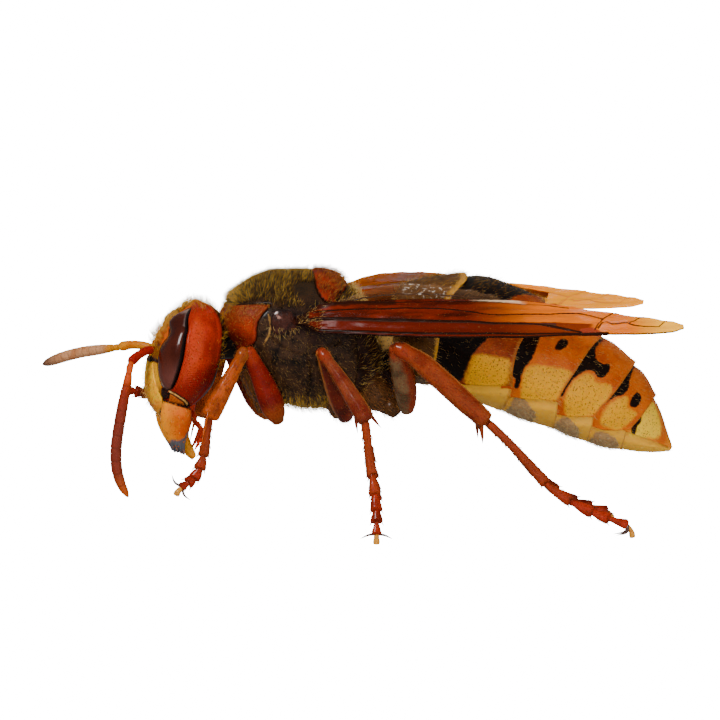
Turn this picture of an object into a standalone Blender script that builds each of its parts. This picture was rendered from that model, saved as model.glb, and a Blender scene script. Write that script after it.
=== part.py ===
"""A hornet queen, life size, in solid pieces.

She faces -X, her left side is -Y and +Z is up. She stands on her middle and hind feet and holds
both front legs raised. Sizes below are in millimetres; the meshes are made in metres. The origin
is on the floor, under the middle of the whole insect.
"""
import math

import bmesh
import bpy
from mathutils import Vector

MM = 0.001
GAP = 0.3                # clearance between pieces that touch

# Head: height, front, back and half width of level sections.
HEAD = (
    (8.05, -12.85, -10.90, 2.20),
    (8.45, -13.10, -10.30, 2.80),
    (9.30, -13.35, -9.55, 3.45),
    (10.30, -13.40, -9.20, 3.80),
    (11.30, -13.30, -8.95, 3.95),
    (12.30, -12.95, -8.80, 3.88),
    (13.20, -12.40, -8.80, 3.60),
    (13.90, -11.85, -9.05, 3.05),
    (14.40, -11.20, -9.60, 2.20),
    (14.62, -10.75, -10.15, 1.10),
)
HEAD_POWER = 2.3         # roundness of the level sections
# The three simple eyes on the crown.
OCELLI = ((-11.55, 0.0, 14.10), (-11.10, -0.50, 14.44), (-11.10, 0.50, 14.44))
OCELLUS_RADIUS = 0.27
HEAD_SIDES = 24
HEAD_LEVELS = 11

# Compound eye: height, and the angles of its front and back margins round the head.
EYE = (
    (14.05, 50.0, 57.0),
    (13.75, 37.0, 62.0),
    (13.30, 31.0, 68.0),
    (12.90, 33.0, 73.0),
    (12.50, 38.0, 75.0),
    (12.10, 32.0, 77.0),
    (11.50, 30.0, 79.0),
    (10.90, 31.0, 79.0),
    (10.30, 34.0, 77.0),
    (9.75, 40.0, 74.0),
    (9.35, 50.0, 68.0),
)
EYE_PROUD = 0.16
EYE_DEPTH = 0.75

# Clypeus: height, its front line and its half width.
CLYPEUS = (
    (11.20, -13.52, 0.75),
    (10.70, -13.62, 1.15),
    (10.00, -13.72, 1.40),
    (9.30, -13.74, 1.95),
    (8.70, -13.66, 2.30),
    (8.15, -13.45, 2.10),
    (7.75, -13.20, 1.55),
    (7.50, -12.98, 1.05),
)
CLYPEUS_THICK = 0.85
CLYPEUS_NOTCH = 0.18     # the two lobes of its lower edge

# Mandible, left: front and back edge (x, z), sideways place and half thickness of its sections.
MANDIBLE = (
    ((-12.70, 8.30), (-11.05, 7.95), 2.35, 0.45),
    ((-12.85, 7.60), (-11.00, 7.35), 2.15, 0.48),
    ((-12.75, 6.80), (-11.10, 6.75), 1.75, 0.42),
    ((-12.52, 6.08), (-11.20, 6.00), 1.25, 0.34),
    ((-12.30, 5.62), (-11.26, 5.28), 0.85, 0.27),
)
MANDIBLE_TEETH = (0.08, 0.38, 0.68, 0.94)
TOOTH_LENGTH = 0.36

# Mouthparts: middle (x, z), and half sizes along and across of their sections.
MOUTH = (
    (-10.95, 8.30, 0.55, 0.75),
    (-10.90, 7.20, 0.50, 0.70),
    (-10.84, 6.10, 0.42, 0.55),
    (-10.82, 5.30, 0.40, 0.50),
    (-10.83, 4.68, 0.22, 0.30),
)
PALP = ((-10.85, -0.55, 7.55), (-10.45, -1.00, 6.95), (-10.35, -1.10, 6.25),
        (-10.52, -1.00, 5.65))
PALP_RADIUS = 0.26

# Feelers: the scape, then the flagellum's own line. The left one hangs, the right one points ahead.
SCAPE = {
    "left": ((-12.75, -0.75, 11.74), (-13.45, -1.15, 11.84), (-14.12, -1.75, 11.56),
             (-14.72, -2.50, 10.98)),
    "right": ((-12.75, 0.75, 11.74), (-13.55, 1.05, 11.96), (-14.35, 1.55, 11.95),
              (-15.05, 2.20, 11.68)),
}
FLAGELLUM = {
    "left": ((-14.82, -2.60, 10.66), (-15.02, -2.75, 9.58), (-15.30, -2.90, 8.29),
             (-15.58, -3.00, 6.75), (-15.74, -3.10, 5.52), (-15.70, -3.10, 4.41),
             (-15.45, -3.05, 3.47), (-15.02, -3.00, 2.65)),
    "right": ((-15.22, 2.46, 11.60), (-16.20, 4.10, 11.38), (-17.30, 5.90, 11.12),
              (-18.42, 7.60, 10.72), (-19.50, 9.10, 10.22)),
}
SCAPE_RADIUS = 0.26
RING_COUNT = 11          # pedicel and ten rings
RING_THIN = 0.25
RING_THICK = 0.35

# Thorax: place along X, top and bottom heights, height of the widest line and half width.
THORAX = (
    (-8.90, 14.20, 12.90, 13.60, 1.90),
    (-8.55, 15.05, 12.35, 13.60, 2.95),
    (-7.98, 15.63, 11.60, 13.50, 3.50),
    (-6.98, 16.30, 9.95, 13.20, 3.95),
    (-5.72, 16.69, 8.60, 12.90, 4.20),
    (-3.96, 16.80, 7.95, 12.70, 4.30),
    (-2.30, 16.78, 8.00, 12.60, 4.10),
    (-1.44, 16.45, 8.15, 12.40, 3.85),
    (-0.70, 15.80, 8.30, 12.20, 3.50),
    (0.10, 14.60, 8.55, 11.90, 2.95),
    (0.75, 13.30, 8.90, 11.40, 2.20),
    (1.10, 12.30, 9.70, 11.10, 1.35),
)
THORAX_POWER = 2.25
THORAX_SIDES = 26
THORAX_LEVELS = 14
COLLAR = ((-9.6, 14.45), (-6.20, 14.45), (-6.45, 13.75), (-6.85, 12.90), (-7.60, 11.95),
          (-8.3, 10.9), (-9.6, 10.9))
SHIELD = ((-3.30, 18.0), (-3.32, 16.3), (-3.20, 15.40), (-2.85, 14.75), (-2.00, 14.62),
          (-1.55, 15.20), (-0.95, 15.80), (-0.55, 16.6), (-0.40, 18.0))
SHIELD_HALF = 3.55
WAIST_CUT = ((-0.75, 18.0), (-0.75, 14.6), (-0.95, 13.2), (-0.70, 10.5), (-0.75, 6.0), (3.0, 6.0),
             (3.0, 18.0))

# Gaster: where the plates part, as the top and bottom (x, z) and half width of slanting sections.
GASTER = (
    ((1.62, 11.75), (1.66, 10.35), 0.75),
    ((2.05, 14.30), (2.15, 9.75), 2.60),
    ((2.85, 15.70), (2.75, 9.45), 3.75),
    ((6.47, 16.22), (4.10, 9.25), 4.15),
    ((8.90, 15.72), (6.30, 8.55), 4.55),
    ((11.44, 14.60), (8.71, 7.62), 4.70),
    ((13.35, 13.60), (10.45, 6.98), 4.55),
    ((15.08, 12.44), (12.09, 6.45), 4.20),
    ((16.25, 11.55), (13.25, 5.98), 3.80),
    ((17.26, 10.59), (14.33, 5.58), 3.35),
    ((18.05, 9.60), (15.45, 5.28), 2.75),
    ((18.62, 8.43), (16.55, 5.08), 2.10),
    ((19.25, 6.60), (18.20, 4.95), 1.10),
    ((19.72, 5.25), (19.50, 4.92), 0.32),
)
PLATE_ENDS = (0, 3, 5, 7, 9, 11, 13)      # rows of GASTER where a plate begins or ends
GASTER_POWER = 2.15
GASTER_SIDES = 26
PLATE_FLARE = 0.09                        # each plate's rear rim stands this proud of the next

# Forewing, left: x, then the leading edge (y, z) and the folded edge (y, z).
FOREWING = (
    (-4.30, -4.95, 12.92, -4.62, 14.22),
    (-3.40, -5.20, 12.80, -4.72, 14.48),
    (-2.00, -5.75, 12.74, -4.82, 14.68),
    (1.00, -6.70, 12.64, -4.98, 14.76),
    (4.20, -7.50, 12.60, -5.05, 14.82),
    (8.50, -8.20, 12.62, -5.40, 14.72),
    (11.30, -8.60, 12.70, -5.90, 14.48),
    (14.10, -8.90, 12.78, -6.80, 14.02),
    (16.20, -9.00, 12.80, -7.40, 13.76),
    (18.05, -8.80, 12.90, -8.00, 13.52),
    (18.85, -8.45, 13.08, -8.20, 13.30),
)
# Hindwing: x, where its outer edge lies under the forewing, as a share of that wing's width, and
# how far its inner edge shows past the forewing's fold.
HINDWING = (
    (-2.20, 0.45, 0.20),
    (-1.20, 0.50, 0.55),
    (0.80, 0.42, 1.30),
    (3.00, 0.40, 1.50),
    (5.50, 0.42, 1.30),
    (8.00, 0.48, 0.70),
    (10.50, 0.58, 0.20),
    (12.40, 0.72, 0.02),
)
HINDWING_TURN = 0.16     # how steeply the part that shows turns up
WING_THICK = 0.5
VEIN_HALF = 0.20         # half width of a vein's ridge
# Long veins of the forewing: share across at the root and at the tip, first and last x, height.
FOREWING_VEINS = (
    (0.07, 0.10, -4.30, 17.60, 0.17),
    (0.44, 0.50, -3.20, 14.90, 0.13),
    (0.68, 0.73, 1.00, 16.40, 0.11),
    (0.92, 0.89, -2.50, 12.60, 0.11),
)
# Its cross veins: x, and the long veins that each one joins.
FOREWING_CROSS = ((5.60, 1, 3), (11.20, 1, 2), (13.60, 0, 1), (16.10, 0, 2))
# Long veins of the hindwing, alike, and no cross veins that show.
HINDWING_VEINS = (
    (0.18, 0.22, -2.60, 11.60, 0.11),
    (0.78, 0.78, -1.60, 9.50, 0.11),
)
WING_CAMBER = 0.16
FAR_WING_LIFT = 0.85     # the right wings are held this much higher at mid length
FAR_WING_REACH = 0.55    # and reach this much further back

TEGULA = (-5.42, -4.30, 13.42)
TEGULA_SIZE = (0.92, 0.60, 0.90)

# Legs, each as the lines of its pieces: coxa and trochanter, femur, tibia, and the foot.
LEGS = {
    "front_left": {
        "coxa": ((-6.90, -1.20, 10.40), (-6.50, -1.40, 9.20), (-5.95, -1.60, 7.75)),
        "femur": ((-5.72, -2.80, 7.42), (-6.48, -3.45, 9.30), (-7.58, -4.45, 11.55)),
        "tibia": ((-7.95, -4.58, 11.60), (-8.92, -4.62, 9.80), (-10.00, -4.60, 7.80)),
        "foot": ((-10.12, -4.60, 7.50), (-10.22, -4.50, 6.60), (-10.37, -4.40, 5.57),
                 (-10.55, -4.30, 4.76), (-10.79, -4.20, 4.14), (-11.06, -4.10, 3.76),
                 (-11.76, -4.00, 3.25)),
    },
    "front_right": {
        "coxa": ((-6.90, 1.20, 10.40), (-6.50, 1.40, 9.20), (-6.10, 1.60, 7.75)),
        "femur": ((-5.85, 2.75, 7.40), (-6.72, 3.35, 9.00), (-8.05, 4.50, 11.40)),
        "tibia": ((-8.20, 4.62, 11.45), (-9.00, 4.70, 9.45), (-9.75, 4.62, 7.30)),
        "foot": ((-10.00, 4.68, 7.14), (-11.20, 4.90, 7.68), (-12.30, 5.12, 8.20),
                 (-13.40, 5.40, 8.56), (-14.30, 5.60, 8.70)),
    },
    "middle_left": {
        "coxa": ((-1.90, -1.40, 9.40), (-1.75, -1.65, 8.40), (-1.30, -1.90, 7.40)),
        "femur": ((-1.50, -2.85, 7.70), (-2.40, -4.50, 9.65), (-3.32, -6.25, 11.60)),
        "tibia": ((-3.28, -6.42, 11.60), (-2.00, -7.20, 9.70), (-0.86, -7.95, 7.72)),
        "foot": ((-0.82, -8.00, 7.42), (-0.64, -8.30, 5.45), (-0.48, -8.50, 4.31),
                 (-0.33, -8.65, 3.15), (-0.25, -8.75, 2.18), (-0.24, -8.85, 1.52),
                 (-0.26, -8.95, 0.67)),
    },
    "middle_right": {
        "coxa": ((-1.90, 1.40, 9.40), (-1.75, 1.65, 8.40), (-1.30, 1.90, 7.40)),
        "femur": ((-1.25, 2.85, 7.60), (-1.65, 4.50, 9.40), (-2.10, 6.25, 11.20)),
        "tibia": ((-2.00, 6.42, 11.20), (-0.48, 7.20, 9.15), (1.00, 7.95, 6.95)),
        "foot": ((1.06, 8.00, 6.65), (1.40, 8.30, 4.60), (1.64, 8.50, 3.35),
                 (1.84, 8.65, 2.20), (1.95, 8.75, 1.50), (2.02, 8.85, 0.67)),
    },
    "hind_left": {
        "coxa": ((0.10, -1.30, 9.60), (0.75, -1.45, 8.70), (1.85, -1.75, 7.75)),
        "femur": ((2.44, -2.90, 7.85), (2.14, -3.95, 9.50), (1.38, -5.80, 11.80)),
        "tibia": ((1.42, -5.98, 11.86), (2.60, -6.18, 11.20), (3.90, -6.42, 10.05),
                  (6.64, -6.98, 7.52)),
        "foot": ((6.96, -7.00, 7.24), (8.75, -6.90, 5.50), (10.69, -6.70, 3.36),
                 (12.16, -6.50, 2.36), (13.42, -6.45, 1.68), (14.44, -6.40, 1.28),
                 (15.72, -6.40, 0.85)),
    },
    "hind_right": {
        "coxa": ((0.10, 1.30, 9.60), (0.75, 1.45, 8.70), (1.95, 1.75, 7.70)),
        "femur": ((2.85, 2.90, 7.75), (2.85, 3.95, 9.30), (2.55, 5.80, 11.40)),
        "tibia": ((2.70, 5.98, 11.44), (3.90, 6.18, 10.80), (5.40, 6.42, 9.55),
                  (8.42, 6.98, 6.86)),
        "foot": ((8.72, 7.00, 6.58), (10.60, 6.90, 4.76), (12.50, 6.70, 2.70),
                 (13.95, 6.50, 1.62), (15.05, 6.45, 1.10), (15.80, 6.40, 0.88),
                 (16.70, 6.40, 0.66)),
    },
}
# Half widths of each pair's pieces, as (share along, half width) seen from the side.
LEG_SIZES = {
    "front": {
        "coxa": ((0, 0.85), (0.45, 0.80), (0.75, 0.58), (1, 0.45)),
        "femur": ((0, 0.40), (0.08, 0.62), (0.22, 0.76), (0.45, 0.72), (0.78, 0.56), (1, 0.40)),
        "tibia": ((0, 0.32), (0.12, 0.38), (0.5, 0.50), (0.9, 0.60), (1, 0.56)),
    },
    "middle": {
        "coxa": ((0, 0.95), (0.45, 0.90), (0.75, 0.62), (1, 0.47)),
        "femur": ((0, 0.45), (0.10, 0.58), (0.35, 0.66), (0.7, 0.50), (1, 0.34)),
        "tibia": ((0, 0.30), (0.12, 0.36), (0.5, 0.46), (0.9, 0.56), (1, 0.52)),
    },
    "hind": {
        "coxa": ((0, 1.05), (0.45, 1.00), (0.75, 0.66), (1, 0.50)),
        "femur": ((0, 0.42), (0.08, 0.56), (0.25, 0.68), (0.45, 0.70), (0.78, 0.62), (1, 0.46)),
        "tibia": ((0, 0.36), (0.10, 0.52), (0.3, 0.64), (0.6, 0.66), (0.9, 0.62), (1, 0.54)),
    },
}
FOOT_HALF = 0.30
LEG_FLAT = 0.84          # a leg's depth as a share of its width
LEG_SIDES = 10
FOOT_SIDES = 8
SPINE_LENGTH = 0.50
SPINE_RADIUS = 0.085
FOOT_SHARES = (0.47, 0.64, 0.78, 0.88)          # where along the foot its first four joints end
SPINE_PLACES = (0.24, 0.455, 0.625, 0.765, 0.865)  # where along a foot its pairs of spines stand
# Spurs at the end of each tibia: root beside the tibia's end, direction, length and radius.
SPURS = {
    "front": (((-0.20, -0.40, 0.00), (-0.24, -0.30, -1.00), 2.05, 0.13),),
    "middle": (((-0.46, 0.00, 0.10), (0.00, -0.10, -1.00), 1.00, 0.10),
               ((0.34, 0.00, 0.22), (0.62, -0.12, -0.80), 1.05, 0.10)),
    "hind": (((0.05, 0.00, -0.25), (0.12, -0.05, -1.00), 1.10, 0.15),
             ((-0.30, 0.00, -0.10), (-0.10, -0.05, -1.00), 0.80, 0.10)),
}
PAD_HALF = 0.25          # half width of the soft pad between the claws
PAD_REACH = 0.34         # how far it reaches ahead of the foot's end
CLAW_RADIUS = 0.14
# A claw's bend and tip from the foot's end: outwards, ahead and down.
CLAWS = {
    "front": ((0.50, 0.16, 0.00), (1.00, 0.02, 0.00)),
    "middle": ((0.52, 0.08, 0.00), (1.00, 0.30, 0.00)),
    "hind": ((0.32, 0.05, 0.45), (0.50, -0.55, 0.84)),
    "middle_right": ((0.30, 0.10, 0.02), (0.47, 0.34, 0.05)),
}

# Colours of the pieces.
CHESTNUT = (0.30, 0.035, 0.012)
RUST = (0.42, 0.075, 0.018)
BLACK_BROWN = (0.030, 0.018, 0.012)
AMBER = (0.62, 0.22, 0.03)
YELLOW = (0.80, 0.46, 0.05)
MAROON = (0.06, 0.010, 0.008)


def blend(table, x):
    """Row of a table at x, its first column, read smoothly between the rows."""
    last = len(table) - 1
    x = min(max(x, min(table[0][0], table[last][0])), max(table[0][0], table[last][0]))
    sign = 1.0 if table[last][0] > table[0][0] else -1.0
    i = 0
    while i < last - 1 and (x - table[i + 1][0]) * sign > 0:
        i += 1
    a, b = table[i], table[i + 1]
    before = table[max(i - 1, 0)]
    after = table[min(i + 2, last)]
    span = b[0] - a[0]
    t = (x - a[0]) / span
    row = []
    for k in range(1, len(a)):
        slope_a = (b[k] - before[k]) / (b[0] - before[0]) * span
        slope_b = (after[k] - a[k]) / (after[0] - a[0]) * span
        row.append((2 * t ** 3 - 3 * t ** 2 + 1) * a[k] + (t ** 3 - 2 * t ** 2 + t) * slope_a
                   + (3 * t ** 2 - 2 * t ** 3) * b[k] + (t ** 3 - t ** 2) * slope_b)
    return row


def line_table(points):
    """Points as rows that start with their share of the way along."""
    lengths = [0.0]
    for a, b in zip(points, points[1:]):
        lengths.append(lengths[-1] + (Vector(b) - Vector(a)).length)
    return tuple((length / lengths[-1], *point) for length, point in zip(lengths, points))


def on_line(points, share):
    """Point at a share of the way along a smooth line through the points."""
    return Vector(blend(line_table(points), share))


def heading(points, share, step=0.02):
    """Direction of the line at a share of the way along it."""
    return (on_line(points, min(share + step, 1.0)) - on_line(points, max(share - step, 0.0))).normalized()


def power(value, exponent):
    """A signed power, for superellipse sections."""
    return math.copysign(abs(value) ** (2.0 / exponent), value)


def ring(centre, axis_u, axis_v, half_u, half_v, sides, exponent=2.0):
    """Points of a closed section round a centre, in the plane of two axes."""
    points = []
    for i in range(sides):
        angle = math.tau * i / sides
        points.append(centre + axis_u * (power(math.cos(angle), exponent) * half_u)
                      + axis_v * (power(math.sin(angle), exponent) * half_v))
    return points


def new_object(name, bm):
    """Object from a closed mesh in millimetres, its faces turned out."""
    bmesh.ops.triangulate(bm, faces=bm.faces)
    bmesh.ops.recalc_face_normals(bm, faces=bm.faces)
    if bm.calc_volume(signed=True) < 0:
        bmesh.ops.reverse_faces(bm, faces=bm.faces)
    bmesh.ops.scale(bm, vec=(MM, MM, MM), verts=bm.verts)
    mesh = bpy.data.meshes.new(name)
    bm.to_mesh(mesh)
    bm.free()
    obj = bpy.data.objects.new(name, mesh)
    bpy.context.scene.collection.objects.link(obj)
    return obj


def skin(name, rings, tip=False):
    """Closed solid through a row of rings, its ends closed by fans, or the last one by a tip."""
    bm = bmesh.new()
    rows = [[bm.verts.new(p) for p in points] for points in rings]
    sides = len(rows[0])
    for a, b in zip(rows, rows[1:]):
        for i in range(sides):
            j = (i + 1) % sides
            bm.faces.new((a[i], a[j], b[j], b[i]))
    for row, points in ((rows[0], rings[0]), (rows[-1], rings[-1])):
        middle = sum((Vector(p) for p in points), Vector()) / sides
        if tip and row is rows[-1]:
            middle += (middle - sum((Vector(p) for p in rings[-2]), Vector()) / sides) * 0.5
        hub = bm.verts.new(middle)
        for i in range(sides):
            bm.faces.new((row[i], row[(i + 1) % sides], hub))
    return new_object(name, bm)


def tube(name, points, radii, sides, steps, flat=1.0, ends=0.0, grow=0.0):
    """Round solid along a line. radii is a table of (share, radius); ends makes it longer."""
    rings = []
    side = None
    for i in range(steps + 1):
        share = i / steps
        here = on_line(points, share)
        ahead = heading(points, share, 0.01)
        if side is None:
            side = ahead.cross(Vector((0, 1, 0))) if flat < 1.0 else ahead.orthogonal()
        side = (side - ahead * side.dot(ahead)).normalized()
        if i == 0:
            here = here - ahead * ends
        if i == steps:
            here = here + ahead * ends
        radius = blend(radii, share)[0] + grow
        rings.append(ring(here, side, ahead.cross(side), radius, radius * flat, sides))
    return skin(name, rings)


def prism(name, outline, half):
    """Solid with an outline of (x, z) points, between -half and half in Y."""
    bm = bmesh.new()
    near = [bm.verts.new((x, -half, z)) for x, z in outline]
    far = [bm.verts.new((x, half, z)) for x, z in outline]
    bm.faces.new(near)
    bm.faces.new(list(reversed(far)))
    count = len(outline)
    for i in range(count):
        j = (i + 1) % count
        bm.faces.new((near[i], far[i], far[j], near[j]))
    return new_object(name, bm)


def largest_surface(bm):
    """Removes all but the largest closed surface of a mesh."""
    bm.verts.ensure_lookup_table()
    seen = set()
    parts = []
    for start in bm.verts:
        if start in seen:
            continue
        stack = [start]
        part = set(stack)
        while stack:
            vert = stack.pop()
            for edge in vert.link_edges:
                other = edge.other_vert(vert)
                if other not in part:
                    part.add(other)
                    stack.append(other)
        seen |= part
        parts.append(part)

    def spread(part):
        first = next(iter(part))
        return max((v.co - first.co).length for v in part)

    keep = max(parts, key=spread)
    bmesh.ops.delete(bm, geom=[v for v in bm.verts if v not in keep], context="VERTS")


def settle(obj):
    """Applies an object's modifiers and keeps its largest closed surface."""
    bpy.context.view_layer.update()
    source = obj.evaluated_get(bpy.context.evaluated_depsgraph_get())
    bm = bmesh.new()
    bm.from_mesh(source.to_mesh())
    source.to_mesh_clear()
    largest_surface(bm)
    bmesh.ops.triangulate(bm, faces=bm.faces)
    bmesh.ops.dissolve_degenerate(bm, edges=bm.edges, dist=0.000001)
    obj.modifiers.clear()
    bm.to_mesh(obj.data)
    bm.free()


def remove(*objects):
    """Takes helper objects out of the scene."""
    for obj in objects:
        mesh = obj.data
        bpy.data.objects.remove(obj)
        bpy.data.meshes.remove(mesh)


def combine(obj, operation, cutter, keep_cutter=False):
    """Applies a Boolean of one cutter to an object."""
    boolean = obj.modifiers.new(operation, "BOOLEAN")
    boolean.operation = operation
    boolean.object = cutter
    settle(obj)
    if not keep_cutter:
        remove(cutter)
    return obj


def fuse(obj, pieces):
    """Joins pieces to an object by one Boolean union, and removes them."""
    group = bpy.data.collections.new("fused_pieces")
    bpy.context.scene.collection.children.link(group)
    for piece in pieces:
        bpy.context.scene.collection.objects.unlink(piece)
        group.objects.link(piece)
    boolean = obj.modifiers.new("union", "BOOLEAN")
    boolean.operation = "UNION"
    boolean.operand_type = "COLLECTION"
    boolean.collection = group
    settle(obj)
    remove(*pieces)
    bpy.data.collections.remove(group)
    return obj


def finish(obj, colour, roughness=0.35):
    """Gives a piece its own material and smooth shading."""
    material = bpy.data.materials.new(obj.name + "_finish")
    material.use_nodes = True
    shader = material.node_tree.nodes["Principled BSDF"]
    shader.inputs["Base Color"].default_value = (*colour, 1.0)
    shader.inputs["Roughness"].default_value = roughness
    shader.inputs["Metallic"].default_value = 0.0
    obj.data.materials.clear()
    obj.data.materials.append(material)
    obj.data.shade_smooth()
    obj.data.set_sharp_from_angle(angle=math.radians(40))
    return obj


def mirrored(point, side):
    """A left-side point, or its mirror for the right side."""
    x, y, z = point
    return (x, y if side == "left" else -y, z)


def head_point(height, angle, grow=0.0):
    """Point of the head's surface: angle 0 is the face, 90 the left side, 270 the right one."""
    front, back, half = blend(HEAD, height)
    middle = (front + back) / 2
    turn = math.radians(angle)
    x = middle - power(math.cos(turn), HEAD_POWER) * ((back - front) / 2 + grow)
    y = -power(math.sin(turn), HEAD_POWER) * (half + grow)
    return Vector((x, y, height))


def head_solid(name, grow=0.0):
    """The head's capsule; grow makes it larger all round."""
    low, high = HEAD[0][0], HEAD[-1][0]
    rings = []
    for i in range(HEAD_LEVELS + 1):
        share = 0.5 - 0.5 * math.cos(math.pi * i / HEAD_LEVELS)
        height = low + (high - low) * share
        points = [head_point(height, 360 * k / HEAD_SIDES, grow) for k in range(HEAD_SIDES)]
        lift = grow * (2 * share - 1)
        rings.append([p + Vector((0, 0, lift)) for p in points])
    return skin(name, rings)


def patch(name, outer, inner):
    """Closed slab between two grids of points alike in rows and columns."""
    bm = bmesh.new()
    top = [[bm.verts.new(p) for p in row] for row in outer]
    low = [[bm.verts.new(p) for p in row] for row in inner]
    rows, columns = len(top), len(top[0])
    for i in range(rows - 1):
        for j in range(columns - 1):
            for grid, turn in ((top, 1), (low, -1)):
                a, b, c, d = grid[i][j], grid[i][j + 1], grid[i + 1][j + 1], grid[i + 1][j]
                bm.faces.new((a, b, c)[::turn])
                bm.faces.new((a, c, d)[::turn])
    rim = [(i, 0) for i in range(rows)] + [(rows - 1, j) for j in range(1, columns)]
    rim += [(i, columns - 1) for i in range(rows - 2, -1, -1)] + [(0, j) for j in range(columns - 2, 0, -1)]
    for (i, j), (k, m) in zip(rim, rim[1:] + rim[:1]):
        bm.faces.new((top[i][j], top[k][m], low[k][m], low[i][j]))
    return new_object(name, bm)


def eye_solid(name, side, grow=0.0):
    """A compound eye, set in the head; grow makes it larger for its socket."""
    rows, columns = (8, 3) if grow else (10, 5)
    spread = math.degrees(grow / 3.2)
    top, low = EYE[0][0] + grow, EYE[-1][0] - grow
    outer, inner = [], []
    for i in range(rows + 1):
        share = i / rows
        height = top + (low - top) * share
        front, back = blend(EYE, EYE[0][0] + (EYE[-1][0] - EYE[0][0]) * share)
        outer_row, inner_row = [], []
        for j in range(columns + 1):
            angle = (front - spread) + (back - front + 2 * spread) * j / columns
            swell = math.sin(math.pi * j / columns) ** 0.5 * math.sin(math.pi * (0.04 + 0.92 * share)) ** 0.5
            proud = EYE_PROUD * (0.45 + 0.55 * swell) + (1.5 if grow else 0.0)
            outer_row.append(mirrored(head_point(height, angle, proud), side))
            inner_row.append(mirrored(head_point(height, angle, -EYE_DEPTH - grow), side))
        outer.append(outer_row)
        inner.append(inner_row)
    return patch(name, outer, inner)


def clypeus_solid(name, grow=0.0):
    """The clypeus, a bulging shield below the feelers; grow makes it larger for its bed."""
    rows, columns = (7, 4) if grow else (8, 6)
    top, low = CLYPEUS[0][0] + grow, CLYPEUS[-1][0] - grow
    outer, inner = [], []
    for i in range(rows + 1):
        share = i / rows
        front, half = blend(CLYPEUS, CLYPEUS[0][0] + (CLYPEUS[-1][0] - CLYPEUS[0][0]) * share)
        half += grow
        outer_row, inner_row = [], []
        for j in range(columns + 1):
            across = -1 + 2 * j / columns
            notch = CLYPEUS_NOTCH * math.cos(math.pi * min(abs(across) * 1.6, 1.0) / 2) ** 2 * share ** 4
            height = top + (low - top) * share + notch
            back = 0.10 * (across * half) ** 2 + 0.012 * (across * half) ** 4
            proud = 1.5 if grow else 0.0
            outer_row.append((front + back - proud, across * half, height))
            inner_row.append((front + back + CLYPEUS_THICK + grow, across * half * 0.93, height))
        outer.append(outer_row)
        inner.append(inner_row)
    return patch(name, outer, inner)


def ocellus_solid(place):
    """A simple eye on the crown, a small dome."""
    rings = []
    for i in range(4):
        turn = math.pi * (i + 0.5) / 4
        radius = OCELLUS_RADIUS * math.sin(turn)
        rings.append(ring(Vector(place) + Vector((0, 0, -OCELLUS_RADIUS * math.cos(turn))), Vector((1, 0, 0)),
                          Vector((0, 1, 0)), radius, radius, 6))
    return skin("ocellus", rings)


def mandible_rings(side, grow=0.0):
    """Sections of a mandible from its joint to its cutting edge."""
    rings = []
    table = tuple((i / (len(MANDIBLE) - 1), *f, *b, y, t) for i, (f, b, y, t) in enumerate(MANDIBLE))
    for i in range(7):
        fx, fz, bx, bz, y, thick = blend(table, i / 6)
        front, back = Vector((fx, 0, fz)), Vector((bx, 0, bz))
        middle = (front + back) / 2
        along = (front - back).normalized()
        centre = Vector(mirrored((middle.x, -y, middle.z), side))
        half = (front - back).length / 2 + grow
        rings.append(ring(centre, along, Vector((0, 1, 0)), half, thick + grow, 9, 2.4))
    return rings


def mandible_solid(name, side):
    """A mandible, a broad blade with teeth along its end."""
    obj = skin(name, mandible_rings(side))
    (fx, fz), (bx, bz), y, thick = MANDIBLE[-1]
    (gx, gz), (cx, cz), _, _ = MANDIBLE[-2]
    ahead = (Vector((fx + bx, 0, fz + bz)) - Vector((gx + cx, 0, gz + cz))).normalized()
    teeth = []
    for share in MANDIBLE_TEETH:
        root = Vector(mirrored((fx + (bx - fx) * share, -y, fz + (bz - fz) * share), side)) - ahead * 0.12
        teeth.append(cone("tooth", root, ahead, TOOTH_LENGTH + 0.12, thick * 0.75, 5))
    return fuse(obj, teeth)


def mouth_solid(name):
    """Tongue and lower jaws, seen between and behind the mandibles."""
    rings = []
    table = tuple((i / (len(MOUTH) - 1), *row) for i, row in enumerate(MOUTH))
    for i in range(9):
        x, z, along, across = blend(table, i / 8)
        rings.append(ring(Vector((x, 0, z)), Vector((1, 0, 0)), Vector((0, 1, 0)), along, across, 10, 2.3))
    obj = skin(name, rings, tip=True)
    palps = []
    for side in ("left", "right"):
        line = [mirrored(p, side) for p in PALP]
        palps.append(tube("palp", line, ((0, PALP_RADIUS), (1, PALP_RADIUS * 0.8)), 6, 6))
    return fuse(obj, palps)


def thorax_point(x, angle, grow=0.0):
    """Point of the thorax's surface: angle 0 is the left side, 90 the top."""
    top, bottom, widest, half = blend(THORAX, x)
    turn = math.radians(angle)
    rise = (top - widest) if math.sin(turn) > 0 else (widest - bottom)
    y = -power(math.cos(turn), THORAX_POWER) * (half + grow)
    z = widest + power(math.sin(turn), THORAX_POWER) * (rise + grow)
    return Vector((x, y, z))


def thorax_solid(name, grow=0.0):
    """The whole thorax before its plates are parted; grow makes it larger all round."""
    start, end = THORAX[0][0], THORAX[-1][0]
    rings = []
    for i in range(THORAX_LEVELS + 1):
        share = 0.5 - 0.5 * math.cos(math.pi * i / THORAX_LEVELS)
        share = 0.5 * share + 0.5 * i / THORAX_LEVELS
        x = start + (end - start) * share
        points = [thorax_point(x, 360 * k / THORAX_SIDES, grow) for k in range(THORAX_SIDES)]
        rings.append([p + Vector((grow * (2 * share - 1), 0, 0)) for p in points])
    return skin(name, rings)


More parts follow.
